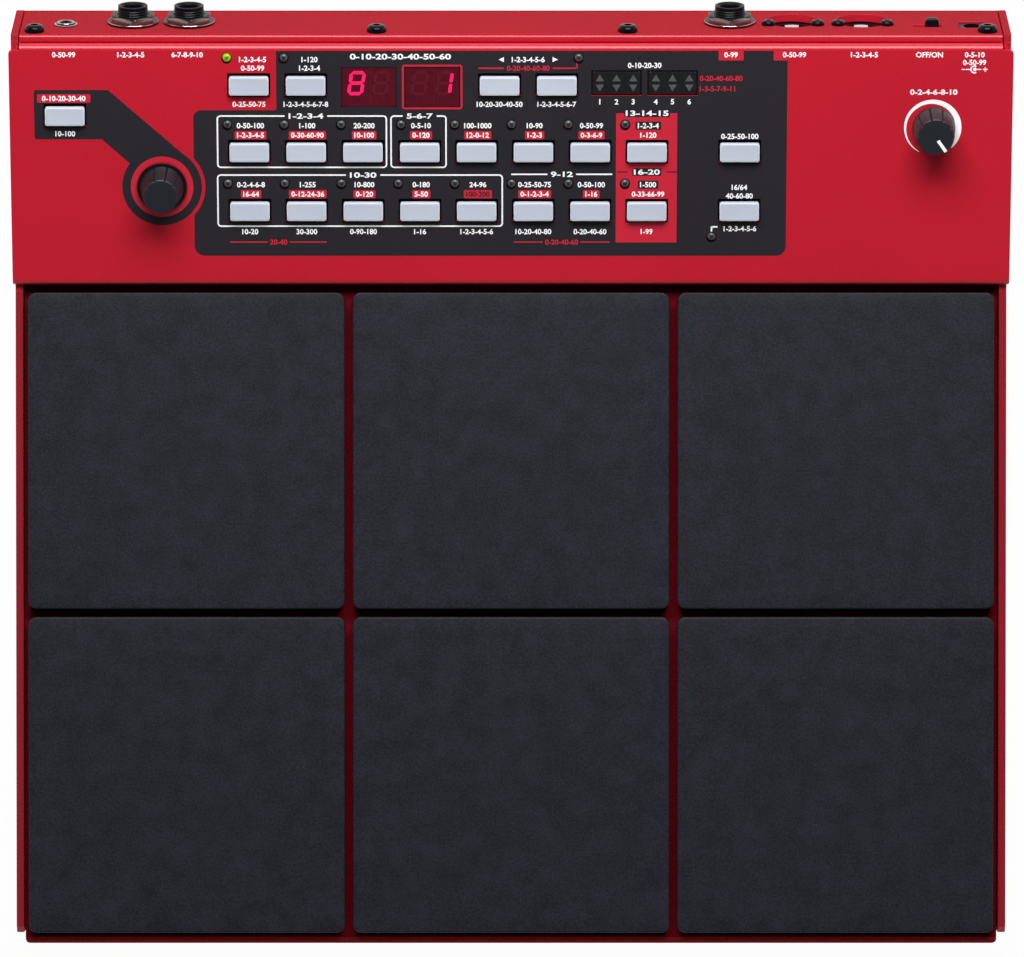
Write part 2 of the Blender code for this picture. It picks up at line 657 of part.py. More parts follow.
# ---- encoder and master level control ----------------------------------------------------
def make_rotary(name, place, metal, body_look, frame):
    """The body stands on the board, its bush comes up through the panel, and the shaft turns in it."""
    body_foot, body_top = BOARD_TOP + GAP, -PANEL_THICKNESS - GAP
    shaft_foot = body_top - SHAFT_IN_BODY
    half = ROTARY_SIDE / 2
    mesh = bmesh.new()
    add_block(mesh, (-half, -half, body_foot), (half, half, body_top))
    body = piece(f"{name}_body", mesh, body_look, frame, (*place, 0))
    bush = bmesh.new()
    add_rod(bush, (0, 0), body_top - BUSH_WALL, BUSH_HEIGHT, BUSH_OUTER)
    shape_with(body, "UNION", bush)
    bore = bmesh.new()
    add_rod(bore, (0, 0), shaft_foot - GAP, BUSH_HEIGHT + GAP, SHAFT_RADIUS + GAP)
    shape_with(body, "DIFFERENCE", bore)

    mesh = bmesh.new()
    add_rod(mesh, (0, 0), shaft_foot, KNOB_TOP - KNOB_ROOF - GAP, SHAFT_RADIUS)
    piece(f"{name}_shaft", mesh, metal, frame, (*place, 0))


def knob_outline(radius, top_radius, skirted):
    """The knob's section: top, tapered side and skirt, then up inside round the bush and the shaft."""
    bush_room = BUSH_OUTER + GAP
    bush_roof = BUSH_HEIGHT + KNOB_LIFT
    seat = SHAFT_RADIUS + GAP
    skirt_top = KNOB_LIFT + SKIRT_HEIGHT
    foot = [(radius, skirt_top), (SKIRT_RADIUS, skirt_top), (SKIRT_RADIUS, KNOB_LIFT)]
    return [
        (0, KNOB_TOP),
        (top_radius - KNOB_EDGE, KNOB_TOP),
        (top_radius, KNOB_TOP - KNOB_EDGE),
        *(foot if skirted else [(radius, KNOB_LIFT)]),
        (bush_room, KNOB_LIFT),
        (bush_room, bush_roof),
        (seat, bush_roof),
        (seat, KNOB_TOP - KNOB_ROOF),
        (0, KNOB_TOP - KNOB_ROOF),
    ]


def make_knob(name, place, radius, top_radius, black, frame, skirted=False):
    """A turned knob whose side is fluted by drawing every other row of points inwards."""
    mesh = bmesh.new()
    add_turned(mesh, (0, 0), knob_outline(radius, top_radius, skirted), segments=2 * FLUTES)
    step = math.pi / FLUTES
    for vert in mesh.verts:
        distance = math.hypot(vert.co.x, vert.co.y)
        turn = round(math.atan2(vert.co.y, vert.co.x) / step)
        on_side = top_radius - KNOB_EDGE / 2 < distance < radius + KNOB_EDGE
        if turn % 2 and on_side:
            share = (distance - FLUTE_DEPTH) / distance
            vert.co.x *= share
            vert.co.y *= share
    piece(name, mesh, black, frame, (*place, 0))


# ---- rear panel and its sockets -----------------------------------------------------------
def make_rear_panel(red, frame):
    """The sheet behind the sockets, with a short flange forward under the control panel's bend."""
    mesh = bmesh.new()
    corner = arc((-REAR_BEND, -REAR_BEND), REAR_BEND, 0, 90, 3)
    outline = [
        (-REAR_HEIGHT, 0),
        *[(y, z) for z, y in corner],
        (0, -FLANGE_LENGTH),
        (-REAR_THICKNESS, -FLANGE_LENGTH),
        (-REAR_THICKNESS, -REAR_THICKNESS),
        (-REAR_HEIGHT, -REAR_THICKNESS),
    ]
    add_prism(mesh, outline, TRAY_HALF)
    panel = piece("rear_panel", mesh, red, frame)
    holes = bmesh.new()
    below, above = -REAR_THICKNESS - GAP, GAP
    for x in JACK_CENTRES:
        add_rod(holes, (x, -JACK_DROP), below, above, JACK_NOSE + HOLE_GAP)
    for x in DIN_CENTRES:
        add_rod(holes, (x, -DIN_DROP), below, above, DIN_HOLE, segments=32)
    add_rod(holes, (PHONES_CENTRE, -PHONES_DROP), below, above, PHONES_NOSE + HOLE_GAP, segments=20)
    for x, y, width, depth in (
        (DC_CENTRE, -DC_DROP, DC_WIDTH, DC_DEPTH),
        (SWITCH_CENTRE, -SWITCH_DROP, SWITCH_SLOT_WIDTH, SWITCH_SLOT_DEPTH),
    ):
        add_block(holes, (x - width / 2, y - depth / 2, below), (x + width / 2, y + depth / 2, above))
    shape_with(panel, "DIFFERENCE", holes)


def socket_body(name, centre, drop, above, width, length, look, frame):
    """A box behind the rear panel that stands on the jack board."""
    foot = -JACK_BOARD_DROP + GAP
    mesh = bmesh.new()
    add_block(
        mesh, (-width / 2, foot + drop, BODY_BEHIND - length), (width / 2, above, BODY_BEHIND)
    )
    return piece(name, mesh, look, frame, (centre, -drop, 0))


def make_jacks(black, steel, frame):
    """Large jack sockets: a body on the board, a threaded nose through the panel, a nut with its washer."""
    body = JACK_DROP, JACK_BODY_ABOVE, JACK_BODY_WIDTH, JACK_BODY_LENGTH
    for number, centre in enumerate(JACK_CENTRES, 1):
        jack = socket_body(f"jack_{number}", centre, *body, black, frame)
        nose = bmesh.new()
        add_rod(nose, (0, 0), BODY_BEHIND - JACK_TIP_WALL, JACK_NOSE_LENGTH, JACK_NOSE)
        shape_with(jack, "UNION", nose)
        bore = bmesh.new()
        flare = JACK_MOUTH - JACK_BORE
        add_turned(bore, (0, 0), [
            (0, BODY_BEHIND - JACK_BODY_LENGTH + JACK_TIP_WALL),
            (JACK_BORE, BODY_BEHIND - JACK_BODY_LENGTH + JACK_TIP_WALL),
            (JACK_BORE, JACK_NOSE_LENGTH - flare),
            (JACK_MOUTH, JACK_NOSE_LENGTH),
            (JACK_MOUTH, JACK_NOSE_LENGTH + GAP),
            (0, JACK_NOSE_LENGTH + GAP),
        ], segments=24)
        shape_with(jack, "DIFFERENCE", bore)

        mesh = bmesh.new()
        add_rod(mesh, (0, 0), GAP, GAP + WASHER_THICKNESS, WASHER_RADIUS, segments=32)
        nut = piece(f"jack_nut_{number}", mesh, steel, frame, (centre, -JACK_DROP, 0))
        hexagon = bmesh.new()
        nut_foot = GAP + WASHER_THICKNESS / 2
        nut_top = GAP + WASHER_THICKNESS + NUT_THICKNESS
        add_rod(hexagon, (0, 0), nut_foot, nut_top, NUT_ACROSS_FLATS / math.sqrt(3), segments=6)
        shape_with(nut, "UNION", hexagon)
        hole = bmesh.new()
        add_rod(hole, (0, 0), 0, JACK_NOSE_LENGTH, JACK_NOSE + GAP)
        shape_with(nut, "DIFFERENCE", hole)


def make_phones_jack(black, frame):
    body = PHONES_DROP, PHONES_BODY_WIDTH / 2, PHONES_BODY_WIDTH, PHONES_BODY_LENGTH
    jack = socket_body("phones_jack", PHONES_CENTRE, *body, black, frame)
    nose = bmesh.new()
    add_rod(nose, (0, 0), BODY_BEHIND - PHONES_PROUD, PHONES_PROUD, PHONES_NOSE, segments=20)
    shape_with(jack, "UNION", nose)
    bore = bmesh.new()
    bore_end = BODY_BEHIND - PHONES_BODY_LENGTH + 2 * PHONES_BORE
    add_rod(bore, (0, 0), bore_end, PHONES_PROUD + GAP, PHONES_BORE, segments=16)
    shape_with(jack, "DIFFERENCE", bore)


def make_data_sockets(black, frame):
    """Round sockets close behind their holes, each with a recess for the plug's shell."""
    body = DIN_DROP, DIN_BODY / 2, DIN_BODY, DIN_BODY_LENGTH
    for number, centre in enumerate(DIN_CENTRES, 1):
        socket = socket_body(f"data_socket_{number}", centre, *body, black, frame)
        recess = bmesh.new()
        add_rod(recess, (0, 0), BODY_BEHIND - DIN_RECESS_DEPTH, BODY_BEHIND + GAP, DIN_RECESS, segments=32)
        shape_with(socket, "DIFFERENCE", recess)


def make_dc_inlet(black, frame):
    """A boxy inlet behind its hole, with a pin that stands in its bore."""
    body = DC_DROP, DC_DEPTH / 2, DC_WIDTH, DC_BODY_LENGTH
    inlet = socket_body("dc_inlet", DC_CENTRE, *body, black, frame)
    bore = bmesh.new()
    add_rod(bore, (0, 0), BODY_BEHIND - DC_RECESS_DEPTH, BODY_BEHIND + GAP, DC_BORE, segments=20)
    shape_with(inlet, "DIFFERENCE", bore)
    pin = bmesh.new()
    add_rod(pin, (0, 0), BODY_BEHIND - DC_RECESS_DEPTH - DC_PIN, BODY_BEHIND - DC_PIN, DC_PIN, segments=12)
    shape_with(inlet, "UNION", pin)


def make_power_switch(black, frame):
    """A slide switch: a body with a pocket behind the slot, and a lever that slides along both."""
    body = SWITCH_DROP, SWITCH_SLOT_DEPTH, SWITCH_BODY_WIDTH, SWITCH_BODY_LENGTH
    switch = socket_body("power_switch", SWITCH_CENTRE, *body, black, frame)
    pocket = bmesh.new()
    half_x, half_y = SWITCH_SLOT_WIDTH / 2, SWITCH_SLOT_DEPTH / 2
    floor = BODY_BEHIND - LEVER_FOOT - GAP
    add_block(pocket, (-half_x, -half_y, floor), (half_x, half_y, BODY_BEHIND + GAP))
    shape_with(switch, "DIFFERENCE", pocket)

    mesh = bmesh.new()
    lever_x, lever_y = LEVER_WIDTH / 2, half_y - HOLE_GAP
    low = -lever_x, -lever_y, BODY_BEHIND - LEVER_FOOT
    add_block(mesh, low, (lever_x, lever_y, LEVER_PROUD), edge=LEVER_EDGE)
    piece("power_lever", mesh, black, frame, (SWITCH_CENTRE - LEVER_TRAVEL / 2, -SWITCH_DROP, 0))


def make_jack_board(green, frame):
    half = CHEEK_INNER - JACK_BOARD_SIDE_GAP
    mesh = bmesh.new()
    rear = BODY_BEHIND - REAR_THICKNESS
    add_block(
        mesh,
        (-half, -JACK_BOARD_DROP - BOARD_THICKNESS, rear - JACK_BOARD_LENGTH),
        (half, -JACK_BOARD_DROP, rear),
    )
    piece("jack_board", mesh, green, frame)


def main():
    clear_scene()
    red = material("red powder coat on aluminium", (0.50, 0.012, 0.028), 0.45)
    rubber = material("pad rubber", (0.025, 0.027, 0.034), 0.85)
    black = material("black plastic", (0.012, 0.012, 0.013), 0.4)
    grey = material("grey button plastic", (0.55, 0.58, 0.63), 0.35)
    steel = material("nickel-plated steel", (0.6, 0.58, 0.54), 0.3, 1.0)
    green = material("green circuit board", (0.02, 0.12, 0.04), 0.5)
    dark_red = material("dark red acrylic", (0.08, 0.002, 0.006), 0.1)
    smoke = material("smoked acrylic", (0.015, 0.015, 0.018), 0.15)
    brass = material("brass piezo discs", (0.6, 0.42, 0.16), 0.35, 1.0)

    right, up = Vector((1, 0, 0)), OUT_OF_PANEL
    panel_frame = slanted_frame("panel_frame", PANEL_ORIGIN, right, UP_SLOPE)
    rear_frame = slanted_frame("rear_frame", REAR_ORIGIN, -right, up)

    make_chassis(red)
    make_tray(red)
    make_pads(rubber)
    make_sensor_sheet(brass)
    make_feet(rubber)
    make_control_panel(red, panel_frame)
    make_windows(dark_red, smoke, panel_frame)
    make_buttons(grey, panel_frame)
    make_control_board(green, panel_frame)
    make_rotary("encoder", ENCODER_PLACE, steel, black, panel_frame)
    encoder_size = ENCODER_KNOB_RADIUS, ENCODER_TOP_RADIUS
    make_knob("encoder_knob", ENCODER_PLACE, *encoder_size, black, panel_frame, skirted=True)
    make_rotary("master_level", MASTER_PLACE, steel, black, panel_frame)
    master_size = MASTER_KNOB_RADIUS, MASTER_TOP_RADIUS
    make_knob("master_level_knob", MASTER_PLACE, *master_size, black, panel_frame)
    make_rear_panel(red, rear_frame)
    make_jacks(black, steel, rear_frame)
    make_phones_jack(black, rear_frame)
    make_data_sockets(black, rear_frame)
    make_dc_inlet(black, rear_frame)
    make_power_switch(black, rear_frame)
    make_jack_board(green, rear_frame)


main()
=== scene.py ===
# %% [markdown]
# # A drum pad with six rubber pads
# Six rubber pads lie on a red sheet-metal tray. Behind them a sloping panel carries
# 23 push buttons, two knobs, two number displays and small lights, and the sockets
# sit on the rear panel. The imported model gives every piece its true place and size,
# so this notebook loads it first and works out each new place from it.

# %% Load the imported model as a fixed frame
import json
import math

import bmesh
import bpy
from mathutils import Matrix, Vector


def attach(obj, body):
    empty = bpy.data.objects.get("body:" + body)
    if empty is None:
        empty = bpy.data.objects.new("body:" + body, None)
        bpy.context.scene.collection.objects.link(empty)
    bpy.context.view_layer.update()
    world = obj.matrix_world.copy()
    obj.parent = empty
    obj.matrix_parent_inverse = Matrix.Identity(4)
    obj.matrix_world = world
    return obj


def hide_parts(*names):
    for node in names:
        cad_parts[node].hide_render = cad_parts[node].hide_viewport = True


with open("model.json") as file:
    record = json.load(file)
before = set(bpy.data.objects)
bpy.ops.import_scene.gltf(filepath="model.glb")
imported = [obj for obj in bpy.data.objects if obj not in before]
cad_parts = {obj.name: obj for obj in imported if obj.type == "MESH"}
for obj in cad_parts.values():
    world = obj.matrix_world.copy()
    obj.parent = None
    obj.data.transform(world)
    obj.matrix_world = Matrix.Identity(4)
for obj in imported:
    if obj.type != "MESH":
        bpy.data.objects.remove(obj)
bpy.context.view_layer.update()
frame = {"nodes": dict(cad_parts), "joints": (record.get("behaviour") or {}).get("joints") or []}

# %% [markdown]
# ## Two slanted frames
# The control panel slopes up to the rear and the rear panel stands square to it. Work
# on a slanted sheet is easy in its own frame: x and y along the sheet, z out of it.
# The encoder's axis stands square on the panel, so the frames follow from that axis.

# %% The panel frame and the rear frame
MM = 0.001
joints = {joint["name"]: joint for joint in frame["joints"]}
RIGHT = Vector((1, 0, 0))
OUT_OF_PANEL = Vector(joints["encoder_turn"]["axis"])
UP_SLOPE = OUT_OF_PANEL.cross(RIGHT)
FLAT = Matrix.Identity(4)


def slanted(x_axis, y_axis, origin=(0, 0, 0)):
    """The matrix from a slanted frame to the world."""
    turned = Matrix((x_axis, y_axis, x_axis.cross(y_axis))).transposed().to_4x4()
    return Matrix.Translation(origin) @ turned


def points_of(node, place=FLAT):
    """A node's points as seen in a slanted frame."""
    inward = place.inverted()
    return [inward @ vert.co for vert in frame["nodes"][node].data.vertices]


def extents(node, place=FLAT):
    """A node's lowest and highest corner as seen in a slanted frame."""
    points = points_of(node, place)
    low = Vector([min(point[axis] for point in points) for axis in range(3)])
    high = Vector([max(point[axis] for point in points) for axis in range(3)])
    return low, high


def middle(node, place=FLAT):
    """The middle of a node's extents in a slanted frame."""
    low, high = extents(node, place)
    return (low + high) / 2


panel_axes = slanted(RIGHT, UP_SLOPE)
low, high = extents("control_panel", panel_axes)
PANEL = slanted(RIGHT, UP_SLOPE, panel_axes @ Vector((0, low.y, high.z)))
PANEL_LENGTH = high.y - low.y
PANEL_HALF = high.x
rear_axes = slanted(-RIGHT, OUT_OF_PANEL)
low, high = extents("rear_panel", rear_axes)
REAR = slanted(-RIGHT, OUT_OF_PANEL, rear_axes @ Vector((0, high.y, high.z)))
OUT_OF_REAR = REAR.to_3x3() @ Vector((0, 0, 1))
print("panel from", PANEL.translation[:], "length", round(PANEL_LENGTH / MM, 1), "mm")

# %% [markdown]
# ## Camera, light and floor
# The object lies on a white table and is seen from almost straight above through a
# long lens. One wide soft lamp stands behind it, half way up, so every button throws
# a short shadow to the front. A white room fills the shadows from its walls. Its ceiling
# is dim, so the narrow gaps stay dark and glossy parts seen from above stay deep in colour.


# %% The camera
def linked(name, data):
    """A new object in the scene that holds this data."""
    thing = bpy.data.objects.new(name, data)
    bpy.context.collection.objects.link(thing)
    return thing


camera_data = bpy.data.cameras.new("camera")
camera_data.sensor_width = 36
camera_data.lens = 278.6
camera = linked("camera", camera_data)
camera.location = (0.00033, 0.0711, 2.628)
camera.rotation_euler = (math.radians(-1.6), 0, 0)
bpy.context.scene.camera = camera
bpy.context.scene.view_settings.view_transform = "Standard"

# %% The lamp behind the object
LAMP_POWER = 20.8
lamp_data = bpy.data.lights.new("soft_box", "AREA")
lamp_data.shape = "RECTANGLE"
lamp_data.size, lamp_data.size_y = 1.0, 0.5
lamp_data.energy = LAMP_POWER
lamp = linked("soft_box", lamp_data)
lamp.location = (0.03, 0.78, 0.89)
aim = Vector((0, 0.05, 0.03)) - lamp.location
lamp.rotation_euler = aim.to_track_quat("-Z", "Y").to_euler()


# %% Helpers for nodes
def add_node(tree, kind, inputs=None, **settings):
    """Adds a node; an input is a value or another node's output."""
    node = tree.nodes.new(kind)
    for name, value in settings.items():
        setattr(node, name, value)
    for name, value in (inputs or {}).items():
        if isinstance(value, bpy.types.NodeSocket):
            tree.links.new(value, node.inputs[name])
        else:
            node.inputs[name].default_value = value
    return node


def empty_tree(owner):
    """The cleared node tree of a world or a material."""
    owner.use_nodes = True
    owner.node_tree.nodes.clear()
    return owner.node_tree


def ray_kinds(tree):
    """Whether a ray comes from the camera, and whether it is mirrored or goes through glass."""
    path = add_node(tree, "ShaderNodeLightPath")
    mirrored = add_node(tree, "ShaderNodeMath", {
        0: path.outputs["Is Glossy Ray"], 1: path.outputs["Is Transmission Ray"],
    }, operation="MAXIMUM").outputs[0]
    return path.outputs["Is Camera Ray"], mirrored


# %% The world: white to the camera, bright walls and a dim ceiling to the object
WALLS = 1.58
CEILING = 0.1
world = bpy.data.worlds.new("white_room")
bpy.context.scene.world = world
tree = empty_tree(world)
from_camera, mirrored = ray_kinds(tree)
direction = add_node(tree, "ShaderNodeTexCoord").outputs["Generated"]
height = add_node(tree, "ShaderNodeSeparateXYZ", {0: direction}).outputs["Z"]
overhead = add_node(tree, "ShaderNodeMapRange", {
    "Value": height, "From Min": 0.15, "From Max": 0.75, "To Min": 1.0, "To Max": CEILING,
}).outputs[0]
fill = add_node(tree, "ShaderNodeMapRange", {
    "Value": height, "From Min": 0.1, "From Max": 0.55, "To Min": WALLS, "To Max": 0.02,
}).outputs[0]
seen = add_node(tree, "ShaderNodeMix", {0: mirrored, 2: fill, 3: overhead}).outputs[0]
level = add_node(tree, "ShaderNodeMix", {0: from_camera, 2: seen, 3: 1.0}).outputs[0]
background = add_node(tree, "ShaderNodeBackground", {"Strength": level})
add_node(tree, "ShaderNodeOutputWorld", {"Surface": background.outputs[0]})


# %% The white floor, which keeps a faint shadow
def hex_colour(text):
    """An sRGB colour such as #a0b0c0 as linear red, green, blue and alpha."""
    parts = [int(text[start:start + 2], 16) / 255 for start in (1, 3, 5)]
    linear = [p / 12.92 if p <= 0.04045 else ((p + 0.055) / 1.055) ** 2.4 for p in parts]
    return (*linear, 1.0)


def poured(mesh, name="poured"):
    """The bmesh as mesh data; the bmesh is freed."""
    data = bpy.data.meshes.new(name)
    mesh.to_mesh(data)
    mesh.free()
    return data


FLOOR_HALF = 3.0
GLOW = 0.97  # the share of white that the camera sees; the rest is painted and takes the shadow
sheet = bmesh.new()
bmesh.ops.create_grid(sheet, x_segments=1, y_segments=1, size=FLOOR_HALF)
floor = linked("floor", poured(sheet, "floor"))
white_table = bpy.data.materials.new("white painted table")
tree = empty_tree(white_table)
from_camera, mirrored = ray_kinds(tree)
direct = add_node(tree, "ShaderNodeMath", {0: mirrored, 1: from_camera}, operation="MAXIMUM").outputs[0]
share = add_node(tree, "ShaderNodeMath", {0: direct, 1: GLOW}, operation="MULTIPLY").outputs[0]
paint = add_node(tree, "ShaderNodeBsdfDiffuse", {"Color": hex_colour("#f0f0f0")})
glow = add_node(tree, "ShaderNodeEmission", {"Color": hex_colour("#ffffff"), "Strength": 1.0})
blend = add_node(tree, "ShaderNodeMixShader", {0: share, 1: paint.outputs[0], 2: glow.outputs[0]})
add_node(tree, "ShaderNodeOutputMaterial", {"Surface": blend.outputs[0]})
floor.data.materials.append(white_table)
print("camera", camera_data.lens, "mm, lamp", LAMP_POWER, "W, floor", 2 * FLOOR_HALF, "m")

# %% [markdown]
# ## Materials
# Almost every surface here has a fine grain: powder coat has orange peel, moulded
# plastic has a spark-eroded texture, rubber is mottled. So one recipe serves them:
# noise at the grain's real size moves the colour a little and lifts a bump, and a
# second, broad noise keeps large faces from looking flat. Each material then differs
# in its colours, grain, gloss and metal.

# %% The grained recipe
SOCKETS = {
    "rough": "Roughness", "ior": "IOR", "gloss": "Specular IOR Level", "metal": "Metallic",
    "glow": "Emission Color", "glow_strength": "Emission Strength",
}


def grained(name, light, dark, grain, depth, clouds=0.25, broad=40, **sockets):
    """A surface whose grain is that wide and deep in mm; clouds is the share of the broad noise."""
    made = bpy.data.materials.new(name)
    tree = empty_tree(made)
    shader = add_node(tree, "ShaderNodeBsdfPrincipled", {
        SOCKETS[short]: value for short, value in sockets.items()
    })
    add_node(tree, "ShaderNodeOutputMaterial", {"Surface": shader.outputs[0]})
    place = add_node(tree, "ShaderNodeTexCoord").outputs["Object"]
    fine = add_node(tree, "ShaderNodeTexNoise", {
        "Vector": place, "Scale": 1 / (grain * MM), "Detail": 2.0, "Roughness": 0.55,
    }).outputs[0]
    cloud = add_node(tree, "ShaderNodeTexNoise", {
        "Vector": place, "Scale": 1 / (broad * MM), "Detail": 3.0, "Roughness": 0.5,
    }).outputs[0]
    both = add_node(tree, "ShaderNodeMix", {0: clouds, 2: fine, 3: cloud}).outputs[0]
    spread = add_node(tree, "ShaderNodeMapRange", {
        "Value": both, "From Min": 0.36, "From Max": 0.64,
    }).outputs[0]
    colour = add_node(tree, "ShaderNodeMix", {
        0: spread, 6: hex_colour(dark), 7: hex_colour(light),
    }, data_type="RGBA").outputs[2]
    tree.links.new(colour, shader.inputs["Base Color"])
    if depth:
        bump = add_node(tree, "ShaderNodeBump", {"Height": fine, "Distance": depth * MM, "Strength": 1.0})
        tree.links.new(bump.outputs[0], shader.inputs["Normal"])
    return made


# %% Powder coat on sheet aluminium: baked polyester powder
# It melts into a satin skin with a fine orange peel. The panel's skin is smooth, and the
# chassis has the coarser one that breaks up a highlight. The matt one is also darker: it is
# painted shade on the faces that stand upright at the rear and at the front.
panel_coat = grained("red powder coat, smooth", "#bf1c2f", "#b51a2b", 0.5, 0.02, rough=0.3, ior=1.45)
chassis_coat = grained(
    "red powder coat, coarse", "#cf2439", "#8a1321", 0.6, 0.055, 0.1, rough=0.3, ior=1.45, gloss=0.45,
)
shaded_matt_coat = grained("red powder coat, matt and darkened as painted shade", "#8e2229", "#852129", 0.5, 0.008, rough=0.8, gloss=0.0)

# %% Rubber: a matt black elastomer, cured in a blasted mould
# The pads have next to no gloss and show a cloudy, fine mottle. The feet are denser.
pad_rubber = grained(
    "moulded pad rubber", "#24262f", "#14151b", 0.7, 0.04, 0.35, 7, rough=0.55, gloss=0.18,
)
# A dark red rubber that is painted shade: the floor of the gaps between the pads and the gap behind the
# control panel.
shade_red_rubber = grained("dark red rubber as painted shade", "#640f18", "#560c13", 0.6, 0.01, rough=0.8, gloss=0.0)
# Near-black used for painted shadow: strips in front of the pads and rings round the holes.
shadow_black = grained("black for painted shadow", "#08080a", "#050506", 0.5, 0.0, rough=0.8, gloss=0.05)
foot_rubber = grained("moulded foot rubber", "#26262a", "#1b1b1e", 0.5, 0.02, rough=0.8)

# %% Moulded plastics: ABS for caps and knobs, nylon for the sockets
button_plastic = grained(
    "pale grey moulded ABS", "#c0c6d2", "#b7bdcb", 0.3, 0.002, 0.5, rough=0.38, ior=1.46, gloss=0.4,
)
# A lighter copy of the cap grey for the slopes of the rim: a painted highlight.
button_rim_highlight = grained(
    "pale grey ABS, painted rim highlight", "#dfe5f0", "#d5dbe8", 0.3, 0.0, 0.5, rough=0.25, ior=1.46,
)
knob_plastic = grained("charcoal moulded ABS", "#1c2027", "#161a20", 0.25, 0.006, rough=0.42, ior=1.46)
skirt_plastic = grained("polished black ABS", "#0c0d10", "#090a0c", 0.4, 0.0, rough=0.18, ior=1.46)
socket_plastic = grained("black moulded nylon", "#0d0d12", "#08080b", 0.3, 0.004, rough=0.36, gloss=0.14)

# %% Metals: nickel plate is warm and soft, chrome mirrors sharply, black oxide is dark
nickel = grained("nickel-plated brass", "#c4bfb8", "#b2aea8", 0.2, 0.002, metal=1.0, rough=0.14)
# A darkened copy of the nickel for faces turned outwards: a painted reflection.
nickel_darkened_face = grained("nickel-plated brass, darkened as painted reflection", "#292e31", "#212527", 0.2, 0.002, metal=1.0, rough=0.4)
chrome = grained("chrome-plated brass", "#a8a6a4", "#989694", 0.4, 0.0, metal=1.0, rough=0.08)
black_oxide = grained("black oxide steel", "#0b0b0e", "#070709", 0.2, 0.002, rough=0.14, gloss=0.12)
steel = grained("turned steel", "#9c9c9e", "#86868a", 0.15, 0.002, metal=1.0, rough=0.32)
bright_tin = grained("tin-plated steel", "#f6f6fa", "#e6e6ec", 0.3, 0.002, metal=0.3, rough=0.45)
brass = grained("rolled brass", "#c9a24e", "#b58e3e", 0.3, 0.002, metal=1.0, rough=0.35)
board_green = grained("solder mask on glass laminate", "#1d5a35", "#174b2c", 0.6, 0.004, rough=0.35)

# %% Screen-printed inks: thin satin films that follow the panel's grain
black_ink = grained("black screen ink", "#27242a", "#212025", 0.5, 0.003, rough=0.5, ior=1.45, gloss=0.27)
white_ink = grained("white screen ink", "#ffffff", "#f2f1f6", 0.5, 0.003, rough=0.5)
red_ink = grained("red screen ink", "#c82036", "#bd1c32", 0.5, 0.003, rough=0.45)

# %% Windows and lamps: cast acrylic filters and clear epoxy lamps
display_acrylic = grained("dark red cast acrylic", "#56101f", "#4c0d1b", 2.0, 0.0, rough=0.12, ior=1.49)
lens_acrylic = grained("smoked cast acrylic", "#1f2023", "#18191b", 1.5, 0.0, rough=0.12, ior=1.49)
marker_grey = grained("frosted grey light guide", "#55585c", "#45484c", 0.8, 0.0, rough=0.4)
lamp_grey = grained("unlit epoxy lamp", "#4a4c50", "#393b3e", 0.8, 0.0, rough=0.2)
lamp_chip = grained("unlit chip under epoxy", "#2c2d31", "#26272a", 0.8, 0.0, rough=0.2)
unlit_segment = grained("unlit display segment", "#5f1322", "#56101e", 0.8, 0.0, rough=0.3)
lamp_green = grained(
    "lit green epoxy lamp", "#98b818", "#84a80c", 0.8, 0.0, rough=0.2,
    glow=hex_colour("#7cb800"), glow_strength=0.2,
)
chip_green = grained("lit chip under epoxy", "#6c8a0a", "#5f7c06", 0.8, 0.0, rough=0.2)
lit_segment = grained(
    "lit display segment", "#ff2060", "#ff1050", 0.8, 0.0, rough=0.4,
    glow=hex_colour("#ff0a50"), glow_strength=0.9,
)
print(len(bpy.data.materials), "materials")

# %% [markdown]
# ## Modelling helpers
# Most parts are one of four shapes: a plate cut to an outline, a tower drawn up through
# several levels, a turned solid, or a rod. Each helper starts from one face, one line of
# points or a cone and lets an operator make the rest, in a new mesh or in the one it is
# given. A last helper turns the mesh into a piece that rides on a body of the model.


# %% Outlines: rounded corners, circles and arcs
def filleted(corners, steps=5):
    """Points round a list of (x, y, radius) corners, each rounded by its own radius."""
    outline = []
    for before, corner, after in zip(corners[-1:] + corners[:-1], corners, corners[1:] + corners[:1]):
        here, radius = Vector(corner[:2]), corner[2]
        if not radius:
            outline.append(here)
            continue
        to_before = (Vector(before[:2]) - here).normalized()
        to_after = (Vector(after[:2]) - here).normalized()
        half = to_before.angle(to_after) / 2
        centre = here + (to_before + to_after).normalized() * radius / math.sin(half)
        start = here + to_before * radius / math.tan(half) - centre
        end = here + to_after * radius / math.tan(half) - centre
        outline += [centre + radius * start.slerp(end, step / steps) for step in range(steps + 1)]
    return outline


def rectangle(low, high, corner=0.0, steps=5):
    """A rectangle's outline between two (x, y) corners."""
    (left, bottom), (right, top) = low, high
    corners = [(left, bottom), (right, bottom), (right, top), (left, top)]
    return filleted([(x, y, corner) for x, y in corners], steps)


def circle(centre, radius, steps):
    """A circle's outline."""
    turns = [math.tau * step / steps for step in range(steps)]
    return [(centre[0] + radius * math.cos(a), centre[1] + radius * math.sin(a)) for a in turns]


def arc(centre, radius, start, sweep, steps):
    """Points along an arc that starts at one angle and sweeps over another, in degrees."""
    turns = [math.radians(start + sweep * step / steps) for step in range(steps + 1)]
    return [(centre[0] + radius * math.cos(a), centre[1] + radius * math.sin(a)) for a in turns]


def quarter(steps):
    """A quarter round of radius one, from its side (1, 0) to its top (0, 1)."""
    return arc((0, 0), 1, 0, 90, steps)


# %% Solids from an outline
def thicken(mesh, faces, height):
    """Draws flat faces up into a plate."""
    drawn = bmesh.ops.extrude_face_region(mesh, geom=faces)["geom"]
    moved = [part for part in drawn if isinstance(part, bmesh.types.BMVert)]
    bmesh.ops.translate(mesh, verts=moved, vec=(0, 0, height))


